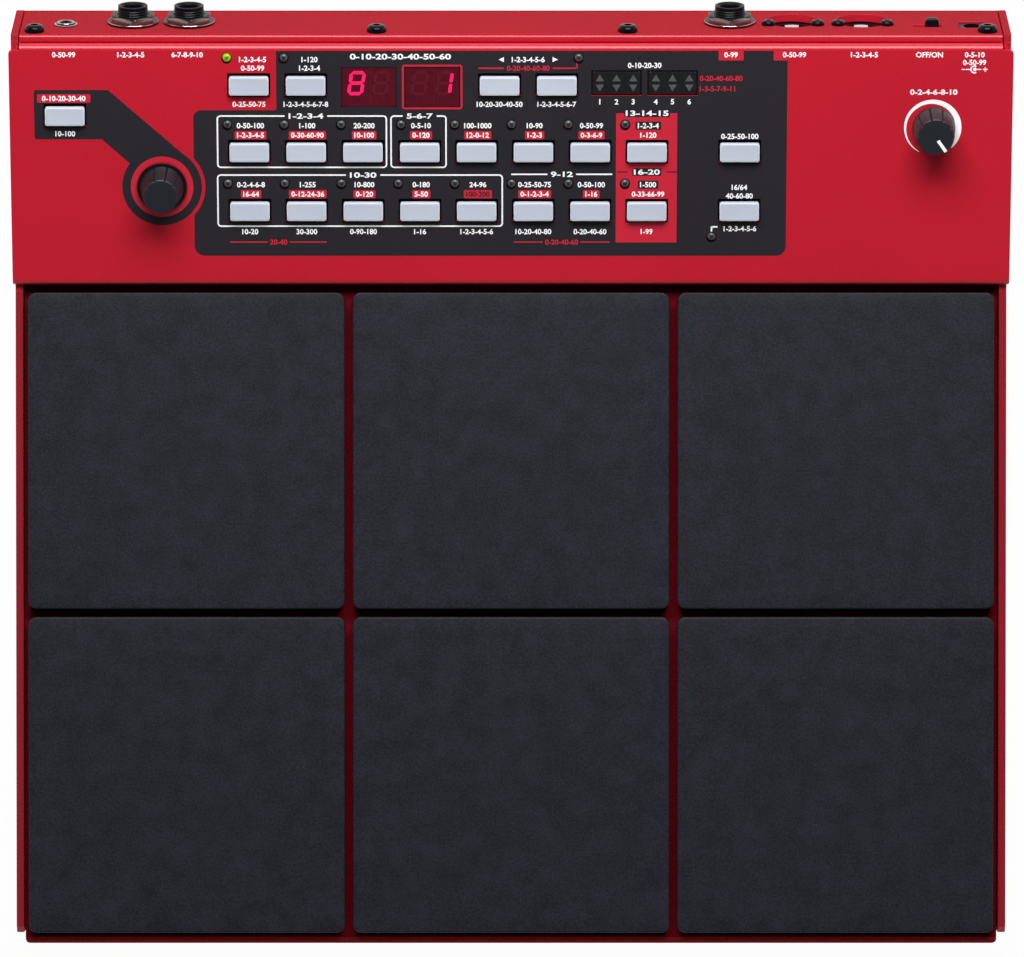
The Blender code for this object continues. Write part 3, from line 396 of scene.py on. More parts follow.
def plate(outline, z_low, z_high, mesh=None):
    """A flat plate of that outline."""
    mesh = mesh or bmesh.new()
    face = mesh.faces.new([mesh.verts.new((point[0], point[1], z_low)) for point in outline])
    thicken(mesh, [face], z_high - z_low)
    return mesh


def block(low, high, mesh=None):
    """A box between two corners."""
    return plate(rectangle(low[:2], high[:2]), low[2], high[2], mesh)


def tower(outline, levels, centre=(0, 0)):
    """An outline about (0, 0), drawn up through levels of (x scale, y scale, height)."""
    mesh = bmesh.new()
    across, along, height = levels[0]
    face = mesh.faces.new([
        mesh.verts.new((centre[0] + point[0] * across, centre[1] + point[1] * along, height))
        for point in outline
    ])
    about = Matrix.Translation((-centre[0], -centre[1], 0))
    for before, after in zip(levels, levels[1:]):
        drawn = bmesh.ops.extrude_face_region(mesh, geom=[face, *face.edges])["geom"]
        face = next(part for part in drawn if isinstance(part, bmesh.types.BMFace))
        size = after[0] / before[0], after[1] / before[1], 1
        bmesh.ops.scale(mesh, vec=size, verts=face.verts, space=about)
        bmesh.ops.translate(mesh, vec=(0, 0, after[2] - before[2]), verts=face.verts)
    return mesh


def lathed(section, centre=(0, 0), steps=48, mesh=None):
    """A solid turned about z from (radius, height) points that start and end on the axis or meet."""
    mesh = mesh or bmesh.new()
    points = [mesh.verts.new((centre[0] + r, centre[1], z)) for r, z in section]
    lines = [mesh.edges.new(pair) for pair in zip(points, points[1:])]
    bmesh.ops.spin(
        mesh, geom=points + lines, cent=(*centre, 0), axis=(0, 0, 1),
        angle=math.tau, steps=steps, use_merge=True,
    )
    bmesh.ops.remove_doubles(mesh, verts=mesh.verts, dist=1e-7)
    return mesh


def rod(centre, z_low, z_high, radius, top_radius=None, steps=32, mesh=None):
    """A round rod along z; with six steps, a hexagon."""
    mesh = mesh or bmesh.new()
    bmesh.ops.create_cone(
        mesh, cap_ends=True, segments=steps, radius1=radius,
        radius2=radius if top_radius is None else top_radius, depth=z_high - z_low,
        matrix=Matrix.Translation((centre[0], centre[1], (z_low + z_high) / 2)),
    )
    return mesh


# %% Groups and booleans of two meshes
def add_mesh(group, mesh):
    """Moves a mesh into a group."""
    data = poured(mesh)
    group.from_mesh(data)
    bpy.data.meshes.remove(data)


def combine(mesh, tool, operation="DIFFERENCE"):
    """Cuts the tool away from the mesh or joins it, and returns the result."""
    holders = []
    for part in (mesh, tool):
        bmesh.ops.recalc_face_normals(part, faces=part.faces)
        holders.append(linked("boolean", poured(part)))
    modifier = holders[0].modifiers.new("Boolean", "BOOLEAN")
    modifier.operation = operation
    modifier.solver = "EXACT"
    modifier.object = holders[1]
    result = bmesh.new()
    result.from_object(holders[0], bpy.context.evaluated_depsgraph_get())
    for holder in holders:
        bpy.data.meshes.remove(holder.data)
    return result


# %% From a mesh to a piece that rides on a body
def make_piece(name, mesh, look, body="housing", place=FLAT, replaced=(), sharp=35, others=()):
    """Places the mesh, turns its faces outwards and shades it smooth between sharp edges.

    A face whose material index isn't zero takes its look from the others.
    """
    bmesh.ops.transform(mesh, matrix=place, verts=mesh.verts)
    bmesh.ops.remove_doubles(mesh, verts=mesh.verts, dist=1e-7)
    bmesh.ops.recalc_face_normals(mesh, faces=mesh.faces)
    data = poured(mesh, name)
    data.shade_smooth()
    data.set_sharp_from_angle(angle=math.radians(sharp))
    for each in (look, *others):
        data.materials.append(each)
    piece = linked(name, data)
    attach(piece, body)
    if replaced:
        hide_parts(*replaced)
    return piece


# %% [markdown]
# ## The sheet metal
# Chassis, tray, control panel and rear panel are cut, bent and powder coated. Powder
# rounds every cut edge, and that thin rounded edge catches the light. The model's sheets
# have sharp edges, so each is copied, its loose triangles are merged back into whole
# faces, and the sharp edges get a small bevel of three segments. The control panel's
# front edge and the tray's are bent, so a corner piece with a hollow arc first cuts them
# round. Faces that stand upright to the rear or to the front take a matt coat that is
# painted darker, as painted shade.

# %% Copies with softened edges
BEND = 2.2 * MM
BEND_SLACK = 0.5 * MM


def rounded(mesh, edges, width, segments):
    """Bevels the edges with a round profile."""
    bmesh.ops.bevel(
        mesh, geom=edges, offset=width, segments=segments, profile=0.5, affect="EDGES",
        material=-1, clamp_overlap=True,
    )


def corner_piece(place):
    """What a bend takes off a sharp edge that runs along x at the frame's origin."""
    outline = [
        (-BEND_SLACK, -BEND), *arc((BEND, -BEND), BEND, 180, -90, 10),
        (BEND, BEND_SLACK), (-BEND_SLACK, BEND_SLACK),
    ]
    mesh = plate(outline, -PANEL_HALF - MM, PANEL_HALF + MM)
    sideways = slanted(Vector((0, 1, 0)), Vector((0, 0, 1)))
    bmesh.ops.transform(mesh, matrix=place @ sideways, verts=mesh.verts)
    return mesh


def softened(node, name, look, width, bend=None, shaded_side=None, shaded_from=0.15):
    """A copy of a sheet with sharp edges rounded by that width, with a bend or a side in the darker matt coat
    that is painted shade.
    """
    mesh = bmesh.new()
    mesh.from_mesh(frame["nodes"][node].data)
    bmesh.ops.remove_doubles(mesh, verts=mesh.verts, dist=1e-6)
    bmesh.ops.dissolve_limit(
        mesh, angle_limit=math.radians(1), verts=mesh.verts, edges=mesh.edges,
        use_dissolve_boundaries=False,
    )
    if bend:
        mesh = combine(mesh, corner_piece(bend))
    sharp = [
        edge for edge in mesh.edges
        if edge.is_manifold and edge.calc_face_angle() > math.radians(40)
    ]
    rounded(mesh, sharp, width, 3)
    # Faces turned to this side take the matt coat, painted darker as painted shade.
    if shaded_side:
        mesh.normal_update()
        for face in mesh.faces:
            face.material_index = int(face.normal.dot(shaded_side) > shaded_from)
    piece = make_piece(
        name, mesh, look, replaced=[node], others=[shaded_matt_coat] if shaded_side else (),
    )
    piece.modifiers.new("Even shading", "WEIGHTED_NORMAL").keep_sharp = True
    print(name, "edges softened:", len(sharp))


tray_low, tray_high = extents("pad_tray")
softened("chassis", "folded_chassis", chassis_coat, 0.35 * MM, shaded_side=OUT_OF_REAR)
softened(
    "pad_tray", "folded_tray", chassis_coat, 0.35 * MM,
    bend=Matrix.Translation((0, tray_low.y, tray_high.z)), shaded_side=Vector((0, -1, 0)),
)
softened("control_panel", "sloping_panel", panel_coat, 0.2 * MM, bend=PANEL)
softened("rear_panel", "socket_panel", panel_coat, 0.15 * MM, shaded_side=OUT_OF_REAR, shaded_from=0.8)

# %% Painted shade: a dark strip in the gap between the control panel and the rear panel
GAP_SHADE_END = 4 * MM
panel_end = extents("control_panel", PANEL)[1].y
ledge = extents("rear_panel", PANEL)[1].z
gap_shade = block(
    (-PANEL_HALF + GAP_SHADE_END, panel_end - 1.5 * MM, ledge - 0.02 * MM),
    (PANEL_HALF - GAP_SHADE_END, panel_end + 0.35 * MM, ledge + 0.22 * MM),
)
# The dark red strip is painted shade for the gap, not a part of the object.
make_piece("panel_gap_shade", gap_shade, shade_red_rubber, place=PANEL)

# %% Painted shade: a dark red sheet between the tray and the pads, and black strips along their front as painted shadow
SHADE_SHEET_MARGIN = 0.05 * MM
pads = [node for node in frame["nodes"] if node.startswith("drum_pad")]
tray_top = extents(pads[0])[0].z
# The sheet darkens the tray's floor in the gaps between the pads: painted shade.
sheet = block(
    (tray_low.x + SHADE_SHEET_MARGIN, tray_low.y + BEND, tray_top - 0.28 * MM),
    (tray_high.x - SHADE_SHEET_MARGIN, extents("control_panel")[0].y + 1.2 * MM, tray_top - SHADE_SHEET_MARGIN),
)
make_piece("tray_floor_shade", sheet, shade_red_rubber)
# Black strips in front of each pad: painted shadow under the pad's front edge.
front_shadow_strips = bmesh.new()
for node in pads:
    low, high = extents(node)
    block(
        (low.x + 1.5 * MM, low.y - 1.05 * MM, tray_top - 0.05 * MM),
        (high.x - 1.5 * MM, low.y + 0.15 * MM, tray_top + 0.25 * MM), front_shadow_strips,
    )
make_piece("pad_front_shadows", front_shadow_strips, shadow_black)

# %% [markdown]
# ## The six pads
# Each pad is a square of rubber with rounded corners and a soft upper edge. Its top is
# a little fuller in the middle. A tower does it all: straight sides, a quarter round,
# and then wider and wider steps across the top that rise by hundredths of a millimetre.

# %% Pads with a rounded edge and a slight crown
PAD_CORNER = 2.6 * MM
PAD_EDGE = 0.55 * MM
PAD_FOOT = PAD_EDGE / 3  # the small slant round the underside
PAD_CROWN = 0.15 * MM
for node in pads:
    low, high = extents(node)
    centre, half = (low + high) / 2, (high - low) / 2
    levels = [(1 - PAD_FOOT / half.x, 1 - PAD_FOOT / half.y, low.z), (1, 1, low.z + PAD_FOOT)]
    for side, up in quarter(6):
        share = 1 - PAD_EDGE * (1 - side) / half.x
        levels.append((share, share, high.z - PAD_EDGE + PAD_EDGE * up))
    for share in (0.9, 0.75, 0.5, 0.2):
        levels.append((share, share, high.z + PAD_CROWN * (1 - share * share)))
    cover = tower(rectangle(-half.xy, half.xy, PAD_CORNER, 8), levels, centre)
    make_piece(f"{node}_cover", cover, pad_rubber, replaced=[node])
print(len(pads), "pads")

# %% [markdown]
# ## The push buttons
# Every cap is one moulding: a stem that stands over its switch, a lip that keeps the cap
# behind the panel, and the cap itself with a broad rounded rim and a dished top. The
# tower passes through these levels from the stem's foot to the top. Each cap rides on
# its own body, so it can be pressed. Below the panel's face the cap is black, as painted
# shade in its hole, and the rim's slopes are a lighter grey, as a painted highlight.

# %% Keycaps
RIM = 0.45 * MM
RIM_HEIGHT = 0.8 * RIM
LIP = 1.0 * MM
LIP_TOP = 2.3 * MM  # below the panel's face
STEM_HALF = 2.0 * MM
CAP_CORNER = 0.75 * MM
DISH = 0.06 * MM
TAKEN_SIDE, TAKEN_FRONT, TAKEN_REAR = 0.17 * MM, 0.15 * MM, 0.6 * MM  # off the model's outline
SHADE_TOP = -0.15 * MM  # below this the cap is black: painted shade in its hole
buttons = [node for node in frame["nodes"] if node.endswith("_button")]
button_centres = {node: middle(node, PANEL) for node in buttons}
for node in buttons:
    low, high = extents(node, PANEL)
    centre = (low + high) / 2 - Vector((0, (TAKEN_REAR - TAKEN_FRONT) / 2, 0))
    half_x = (high.x - low.x) / 2 - LIP - TAKEN_SIDE
    half_y = (high.y - low.y) / 2 - LIP - (TAKEN_FRONT + TAKEN_REAR) / 2
    stem = STEM_HALF / half_x, STEM_HALF / half_y
    lip = 1 + (LIP + TAKEN_SIDE) / half_x, 1 + (LIP + TAKEN_FRONT) / half_y
    levels = [
        (*stem, low.z), (*stem, -LIP_TOP - LIP),
        (*lip, -LIP_TOP - LIP), (*lip, -LIP_TOP), (1, 1, -LIP_TOP), (1, 1, SHADE_TOP),
    ]
    for side, up in quarter(4):
        taken = RIM * (1 - side)
        levels.append((1 - taken / half_x, 1 - taken / half_y, high.z + RIM_HEIGHT * (up - 1)))
    inner = 1 - 2 * RIM / half_x, 1 - 2 * RIM / half_y
    levels += [(*inner, high.z - DISH / 2), (inner[0] / 2, inner[1] / 2, high.z - DISH)]
    cap = tower(rectangle((-half_x, -half_y), (half_x, half_y), CAP_CORNER), levels, centre)
    bmesh.ops.recalc_face_normals(cap, faces=cap.faces)
    # Faces low in the hole are black as painted shade; the rim's slopes take the lighter grey as a painted
    # highlight.
    for face in cap.faces:
        if face.calc_center_median().z < SHADE_TOP:
            face.material_index = 1
        elif 0.1 < face.normal.z < 0.97 and face.normal.y < 0.3:
            face.material_index = 2
    make_piece(
        f"{node}_cap", cap, button_plastic, node, PANEL, [node], sharp=50,
        others=[socket_plastic, button_rim_highlight],
    )
print(len(buttons), "keycaps")

# %% [markdown]
# ## The small lights
# Each light is a 3 mm epoxy lamp that looks out of a round hole. The board of the model
# holds one post for each, so the posts' tips give the places. One lamp is lit: the one
# above and to the left of the first button of the upper row.

# %% Find the lamps and turn their lenses
LAMP_RADIUS = 1.42 * MM
LAMP_FOOT, LAMP_TOP = -2 * MM, 0.66 * MM
LAMP_DOME = 0.75 * LAMP_RADIUS
LAMP_GROUP = 1.0 * MM  # tips closer than this are one lamp
CHIP = 0.62 * MM
CHIP_EDGE = LAMP_TOP - 0.08 * MM
LIT_SPOT = Vector((-7, 9)) * MM  # from the first button of the upper row
tips = []
for point in points_of("control_board", PANEL):
    if point.z > 0.5 * MM and all((point - tip).length > LAMP_GROUP for tip in tips):
        tips.append(point)
lit_spot = button_centres["kit_button"].xy + LIT_SPOT
lit_lamp = min(tips, key=lambda tip: (tip.xy - lit_spot).length)
dome = [(LAMP_RADIUS * side, LAMP_TOP - LAMP_DOME * (1 - up)) for side, up in quarter(6)[1:-1]]
section = [
    (0, LAMP_FOOT), (LAMP_RADIUS, LAMP_FOOT), (LAMP_RADIUS, LAMP_TOP - LAMP_DOME), *dome, (0, LAMP_TOP),
]
unlit_tips = [tip for tip in tips if tip is not lit_lamp]
for name, places, lens, chip in (
    ("unlit_lamp", unlit_tips, lamp_grey, lamp_chip), ("lit_lamp", [lit_lamp], lamp_green, chip_green),
):
    lenses, chips = bmesh.new(), bmesh.new()
    for tip in places:
        lathed(section, tip.xy, 24, lenses)
        rod(tip.xy, 0.3 * MM, CHIP_EDGE, CHIP, steps=16, mesh=chips)
        rod(tip.xy, CHIP_EDGE, LAMP_TOP + 0.015 * MM, CHIP, 0.35 * CHIP, 16, chips)
    make_piece(f"{name}_lenses", lenses, lens, place=PANEL)
    make_piece(f"{name}_chips", chips, chip, place=PANEL)
print(len(tips), "lamps")

# %% [markdown]
# ## The windows
# Two red windows hold two digits each, and two smoked windows hold three pairs of small
# triangles each. A digit is seven bars, slanted a little. Bars that are off stay just
# visible in the red, so they are modelled too, as thin plates on the window.

# %% Where the windows are
INK = 0.02 * MM
WINDOW_SUNK = 0.2 * MM
SIDES = ("left", "right")
windows = {}
for node in ("display_filter", "channel_lens"):
    top = [point for point in points_of(node, PANEL) if point.z > -WINDOW_SUNK - 0.05 * MM]
    split = sum(point.x for point in top) / len(top)
    for side in SIDES:
        xs, ys = zip(*(p.xy for p in top if (p.x < split) == (side == "left")))
        windows[node, side] = Vector((min(xs), min(ys))), Vector((max(xs), max(ys)))
print("windows", {key: tuple(round(v / MM, 1) for v in low) for key, (low, high) in windows.items()})

# %% Filters with rounded edges
SHELF = -2.3 * MM
WINDOW_EDGE = 0.35 * MM
for node, look, slot in (
    ("display_filter", display_acrylic, "red_acrylic"),
    ("channel_lens", lens_acrylic, "smoked_acrylic"),
):
    low, high = extents(node, PANEL)
    mesh = plate(rectangle(low.xy, high.xy, 0.8 * MM), low.z, SHELF)
    for side in SIDES:
        first, last = windows[node, side]
        half = (last - first) / 2
        rim = 1 - WINDOW_EDGE / half.x, 1 - WINDOW_EDGE / half.y
        levels = [(1, 1, SHELF - 0.5 * MM), (1, 1, high.z - WINDOW_EDGE), (*rim, high.z)]
        mesh = combine(mesh, tower(rectangle(-half, half, 0.4 * MM), levels, (first + last) / 2), "UNION")
    make_piece(f"{node}_moulding", mesh, look, place=PANEL, replaced=[node])

# %% Seven-bar digits
DIGIT_WIDTH = 5.2 * MM
DIGIT_HEIGHT = 8.1 * MM
BAR = 1.05 * MM
BAR_GAP = 0.12 * MM
BAR_FOOT = -WINDOW_SUNK - 0.005 * MM
SLANT = math.tan(math.radians(8))
DIGIT_PITCH = 8.0 * MM
DIGIT_RISE = 1.25 * MM
BARS = {  # where each bar starts and ends, in half widths and half heights
    "a": ((-1, 1), (1, 1)), "b": ((1, 1), (1, 0)), "c": ((1, 0), (1, -1)),
    "d": ((-1, -1), (1, -1)), "e": ((-1, 0), (-1, -1)), "f": ((-1, 1), (-1, 0)),
    "g": ((-1, 0), (1, 0)),
}
DIGITS = {("left", -1): "abcdefg", ("left", 1): "", ("right", -1): "", ("right", 1): "bc"}


def bar_outline(centre, bar):
    """One bar of a digit, with pointed ends, leaning to the right."""
    half = Vector(((DIGIT_WIDTH - BAR) / 2, (DIGIT_HEIGHT - BAR) / 2))
    start, end = (Vector((x * half.x, y * half.y)) for x, y in BARS[bar])
    along = (end - start).normalized()
    side = Vector((-along.y, along.x)) * BAR / 2
    start, end = start + along * BAR_GAP, end - along * BAR_GAP
    inset = along * BAR / 2
    points = [start, start + inset - side, end - inset - side, end, end - inset + side, start + inset + side]
    return [(centre.x + p.x + SLANT * p.y, centre.y + p.y) for p in points]


lit, unlit = bmesh.new(), bmesh.new()
for (side, step), on in DIGITS.items():
    first, last = windows["display_filter", side]
    centre = (first + last) / 2 + Vector((step * DIGIT_PITCH / 2, DIGIT_RISE))
    for bar in BARS:
        target, rise = (lit, 0.03) if bar in on else (unlit, 0.015)
        plate(bar_outline(centre, bar), BAR_FOOT, -WINDOW_SUNK + rise * MM, target)
for side in SIDES:  # the line between the two digits' modules
    first, last = windows["display_filter", side]
    x = (first.x + last.x) / 2 + 0.5 * MM
    block(
        (x - 0.12 * MM, first.y + 0.6 * MM, BAR_FOOT),
        (x + 0.12 * MM, last.y - 0.6 * MM, BAR_FOOT + INK), unlit,
    )
make_piece("lit_digit_bars", lit, lit_segment, place=PANEL)
make_piece("unlit_digit_bars", unlit, unlit_segment, place=PANEL)

# %% Triangles in the smoked windows
TRIANGLE_HALF = 2.7 * MM / 2
TRIANGLE_HEIGHT = 2.3 * MM
TRIANGLE_PITCH = 5.43 * MM
TRIANGLE_BASE = 0.55 * MM  # from the window's middle line
markers = bmesh.new()
channel_places = []
for side in SIDES:
    first, last = windows["channel_lens", side]
    centre = (first + last) / 2
    for step in (-1, 0, 1):
        x = centre.x + step * TRIANGLE_PITCH
        channel_places.append(x)
        for up in (1, -1):
            base = centre.y + up * TRIANGLE_BASE
            corners = (x - TRIANGLE_HALF, base), (x + TRIANGLE_HALF, base), (x, base + up * TRIANGLE_HEIGHT)
            plate(corners, BAR_FOOT, -WINDOW_SUNK + 0.02 * MM, markers)
make_piece("channel_markers", markers, marker_grey, place=PANEL)
print(len(channel_places), "channels")

# %% [markdown]
# ## The knobs
# Both knobs are tapered and ribbed: ten broad ribs with narrow grooves between them. The
# outline of the foot holds the grooves, and a tower draws it up to the smaller top with
# a small rounded edge. The encoder's knob has a thin polished skirt, and the level knob
# has a white line on its top that shows where it is set.

# %% A ribbed outline and a knob
RIBS = 10
GROOVE_DEPTH = 0.55 * MM
GROOVE_HALF = 0.34 * MM
TOP_EDGE = 0.45 * MM
BUSH, SHAFT = 4.6 * MM, 3.3 * MM
BUSH_TOP, SHAFT_TOP = 3.1 * MM, 11 * MM
ENCODER_TURN, LEVEL_TURN = 3, -55  # degrees from pointing to the right


def ribbed(radius):
    """Round ribs with a narrow groove at each joint."""
    points = []
    pitch = math.tau / RIBS
    groove = GROOVE_HALF / radius
    for start in [rib * pitch for rib in range(RIBS)]:
        points.append((radius - GROOVE_DEPTH, start))
        points += [(radius, start + groove + (pitch - 2 * groove) * step / 7) for step in range(8)]
    return [(r * math.cos(a), r * math.sin(a)) for r, a in points]


def knob(foot_radius, top_radius, foot, top, bore_foot, turned=0):
    """The ribbed body of a knob about (0, 0), with room inside for the bush and the shaft."""
    tapered = top_radius / foot_radius
    levels = [(1, 1, foot), (tapered, tapered, top - TOP_EDGE)]
    for side, up in quarter(4)[1:]:
        size = (top_radius - TOP_EDGE * (1 - side)) / foot_radius
        levels.append((size, size, top - TOP_EDGE + TOP_EDGE * up))
    flat = 0.6 * top_radius / foot_radius
    mesh = tower(ribbed(foot_radius), levels + [(flat, flat, top - 0.03 * MM)])
    bmesh.ops.transform(mesh, matrix=Matrix.Rotation(math.radians(turned), 4, "Z"), verts=mesh.verts)
    bore = lathed([
        (0, bore_foot - MM), (BUSH, bore_foot - MM), (BUSH, BUSH_TOP), (SHAFT, BUSH_TOP),
        (SHAFT, SHAFT_TOP), (0, SHAFT_TOP),
    ])
    return combine(mesh, bore)


def on_axis(centre, turn):
    """The frame on a knob's axis."""
    return PANEL @ Matrix.Translation((centre.x, centre.y, 0)) @ Matrix.Rotation(math.radians(turn), 4, "Z")


# %% The encoder's knob with its skirt
SKIRT_TOP = 1.3 * MM
low, high = extents("encoder_knob", PANEL)
at_encoder = on_axis((low + high) / 2, ENCODER_TURN)
body = knob(7.15 * MM, 5.65 * MM, SKIRT_TOP - 0.3 * MM, high.z, low.z)
make_piece(
    "encoder_knob_body", body, knob_plastic, "encoder", at_encoder, ["encoder_knob"],
)
wide = (high.x - low.x) / 2
skirt = lathed([
    (4.8 * MM, low.z), (wide - 0.2 * MM, low.z), (wide, low.z + 0.2 * MM), (wide, SKIRT_TOP - 0.3 * MM),
    (wide - 0.1 * MM, SKIRT_TOP - 0.1 * MM), (wide - 0.3 * MM, SKIRT_TOP), (6.2 * MM, SKIRT_TOP),
    (4.8 * MM, SKIRT_TOP), (4.8 * MM, low.z),
], steps=64)
make_piece("encoder_knob_skirt", skirt, skirt_plastic, "encoder", at_encoder)

# %% The level knob with its pointer
low, high = extents("master_level_knob", PANEL)
at_master = on_axis((low + high) / 2, LEVEL_TURN)
body = knob(7.0 * MM, 6.0 * MM, low.z, high.z, low.z, 14)
make_piece(
    "level_knob_body", body, knob_plastic, "master_level", at_master,
    ["master_level_knob"],
)
outline = rectangle((1.4 * MM, -0.52 * MM), (5.9 * MM, 0.52 * MM), 0.1 * MM)
pointer = plate(outline, high.z - 0.3 * MM, high.z + 0.05 * MM)
make_piece("level_knob_pointer", pointer, white_ink, "master_level", at_master)
print("knobs at", [round(v / MM, 1) for v in (at_encoder.translation.x, at_master.translation.x)])

# %% [markdown]
# ## Printing on the panel
# The panel is screen printed in three inks: a black field, white lines and numbers, and
# red fields and lines. Ink is a real film, here about a fiftieth of a millimetre for
# each pass, so each ink is a thin closed plate that lies on the pass below it. Texts
# are plain numbers and scales.

# %% Helpers for print
LETTER_HEIGHT = 1.86 * MM
LINE, THIN = 0.5 * MM, 0.4 * MM
BOX_SIDE, BOX_END = 0.75 * MM, 0.45 * MM  # from the numbers to the edge of their box
printed = {"white": bmesh.new()}


def film(layer):
    """The heights between which a pass of ink lies."""
    return layer * INK, (layer + 1) * INK


def add_text(words, x, y, ink="white", layer=2, height=LETTER_HEIGHT, wide=1.0, start=False):
    """Plain lettering of one height, centred on (x, y) or starting there."""
    curve = bpy.data.curves.new("lettering", "FONT")
    curve.body = words
    curve.offset = 0.028
    curve.resolution_u = 3
    holder = linked("lettering", curve)
    shape = bpy.data.meshes.new_from_object(holder.evaluated_get(bpy.context.evaluated_depsgraph_get()))
    mesh = bmesh.new()
    mesh.from_mesh(shape)
    bpy.data.meshes.remove(shape)
    bpy.data.curves.remove(curve)
    bmesh.ops.remove_doubles(mesh, verts=mesh.verts, dist=1e-5)
    xs, ys, _ = zip(*(vert.co for vert in mesh.verts))
    left, right, bottom, top = min(xs), max(xs), min(ys), max(ys)
    size = height / (top - bottom)
    from_x = left if start else (left + right) / 2
    bmesh.ops.translate(mesh, verts=mesh.verts, vec=(-from_x, -(bottom + top) / 2, 0))
    bmesh.ops.scale(mesh, verts=mesh.verts, vec=(size * wide, size, 0))
    low, high = film(layer)
    thicken(mesh, mesh.faces[:], high - low)
    bmesh.ops.translate(mesh, verts=mesh.verts, vec=(x, y, low))
    add_mesh(printed[ink], mesh)
    return (right - left) * size * wide


def add_field(low, high, ink="red", layer=1, corner=0.0):
    """A filled rectangle of ink."""
    plate(rectangle(low, high, corner), *film(layer), printed[ink])


def add_line(start, end, ink="white", layer=2, width=LINE):
    """A straight line of ink, level or upright, with square ends."""
    half = width / 2
    low = min(start[0], end[0]) - half, min(start[1], end[1]) - half
    high = max(start[0], end[0]) + half, max(start[1], end[1]) + half
    add_field(low, high, ink, layer)


def add_boxed(words, x, y, ink="red", layer=1, text_layer=2, text_ink="white"):
    """Numbers on a small coloured box."""
    width = add_text(words, x, y, text_ink, text_layer)
    half = width / 2 + BOX_SIDE, LETTER_HEIGHT / 2 + BOX_END
    add_field((x - half[0], y - half[1]), (x + half[0], y + half[1]), ink, layer, 0.4 * MM)


def column(name):
    """The x of a button."""
    return button_centres[f"{name}_button"].x


def row(name):
    """The y of a button."""
    return button_centres[f"{name}_button"].y


# %% The black field with its arm and ring round the encoder
upper, centre_row, lower = row("kit"), row("shift"), row("tap")
first, last = column("tone_spectra"), column("delay_rate")
field_left, field_right = first - 18.2 * MM, column("tap") + 15.35 * MM
field_low, field_high = lower - 15.5 * MM, PANEL_LENGTH - 2.0 * MM
step_right, step_high = first + 8.9 * MM, centre_row + 13.8 * MM
encoder = (PANEL.inverted() @ at_encoder.translation).xy
RED_RING_INNER, RING_INNER, RING_OUTER, RING_GAP = 8.45 * MM, 10.2 * MM, 13.0 * MM, 14.15 * MM


def disc(radius, z_low=-INK, z_high=2 * INK):
    """A disc about the encoder, thick enough to cut a film."""
    return plate(circle(encoder, radius, 96), z_low, z_high)


black = combine(plate(filleted([
    (field_left, field_low, 3.3 * MM), (field_right, field_low, 3.2 * MM), (field_right, field_high, 0),
    (step_right, field_high, 0), (step_right, step_high, 0.6 * MM), (field_left, step_high, 2.6 * MM),
]), *film(0)), disc(RING_GAP))

panic = button_centres["panic_button"]
arm_left, arm_low, arm_high = panic.x - 10.0 * MM, panic.y - 8.2 * MM, panic.y + 8.4 * MM
arm = plate(filleted([
    (arm_left, arm_low, 0.8 * MM), (panic.x + 11.9 * MM, arm_low, 0.8 * MM),
    (encoder.x - 10.0 * MM, encoder.y + 7.5 * MM, 0), (encoder.x, encoder.y, 0),
    (encoder.x + 9.0 * MM, encoder.y + 9.24 * MM, 0),
    (panic.x + 14.1 * MM, arm_high, 0.8 * MM), (arm_left, arm_high, 0.8 * MM),
]), *film(0))
arm = combine(combine(arm, disc(RING_OUTER, *film(0)), "UNION"), disc(RING_INNER))
black = combine(black, arm, "UNION")

# %% Holes in the black field, as wide as the panel's own
HOLE_GAP = 0.3 * MM
OVERLAP = Vector((-0.08, -0.3)) * MM  # the ink runs over the edge of a red window
inset = Vector((LIP - HOLE_GAP, LIP - HOLE_GAP))
holes = {}
for node in buttons:
    low, high = extents(node, PANEL)
    holes[node] = low.xy + inset, high.xy - inset


def cutter(nodes, lamps):
    """What opens a film over these buttons and lamps."""
    mesh = bmesh.new()
    for node in nodes:
        plate(rectangle(*holes[node]), -INK, 5 * INK, mesh)
    for tip in lamps:
        rod(tip.xy, -INK, 5 * INK, LAMP_RADIUS + 0.9 * HOLE_GAP, steps=24, mesh=mesh)
    return mesh


tool = cutter(buttons, tips)
for (node, _), (low, high) in windows.items():
    margin = OVERLAP if node == "display_filter" else Vector((HOLE_GAP, HOLE_GAP))
    plate(rectangle(low - margin, high + margin), -INK, 5 * INK, tool)
printed["black"] = combine(black, tool)

# %% Painted shadow round the holes: black rings, wider to the front of each button and shifted to the front of each lamp
SHADOW_SIDE, SHADOW_FRONT = 0.08 * MM, 0.42 * MM
LAMP_SHADOW = 1.62 * MM
LAMP_SHADOW_SHIFT = Vector((-0.08, -0.3)) * MM
side, front = Vector((SHADOW_SIDE, SHADOW_SIDE)), Vector((SHADOW_SIDE, SHADOW_FRONT))
shadow_rings, shadow_openings = bmesh.new(), bmesh.new()
for low, high in holes.values():
    plate(rectangle(low - front, high + side, 0.4 * MM), *film(4), shadow_rings)
    plate(rectangle(low, high), -INK, 6 * INK, shadow_openings)
for tip in tips:
    plate(circle(tip.xy + LAMP_SHADOW_SHIFT, LAMP_SHADOW, 32), *film(4), shadow_rings)
    plate(circle(tip.xy, LAMP_RADIUS + 0.05 * MM, 32), -INK, 6 * INK, shadow_openings)
make_piece("hole_shadow_rings", combine(shadow_rings, shadow_openings), shadow_black, place=PANEL)

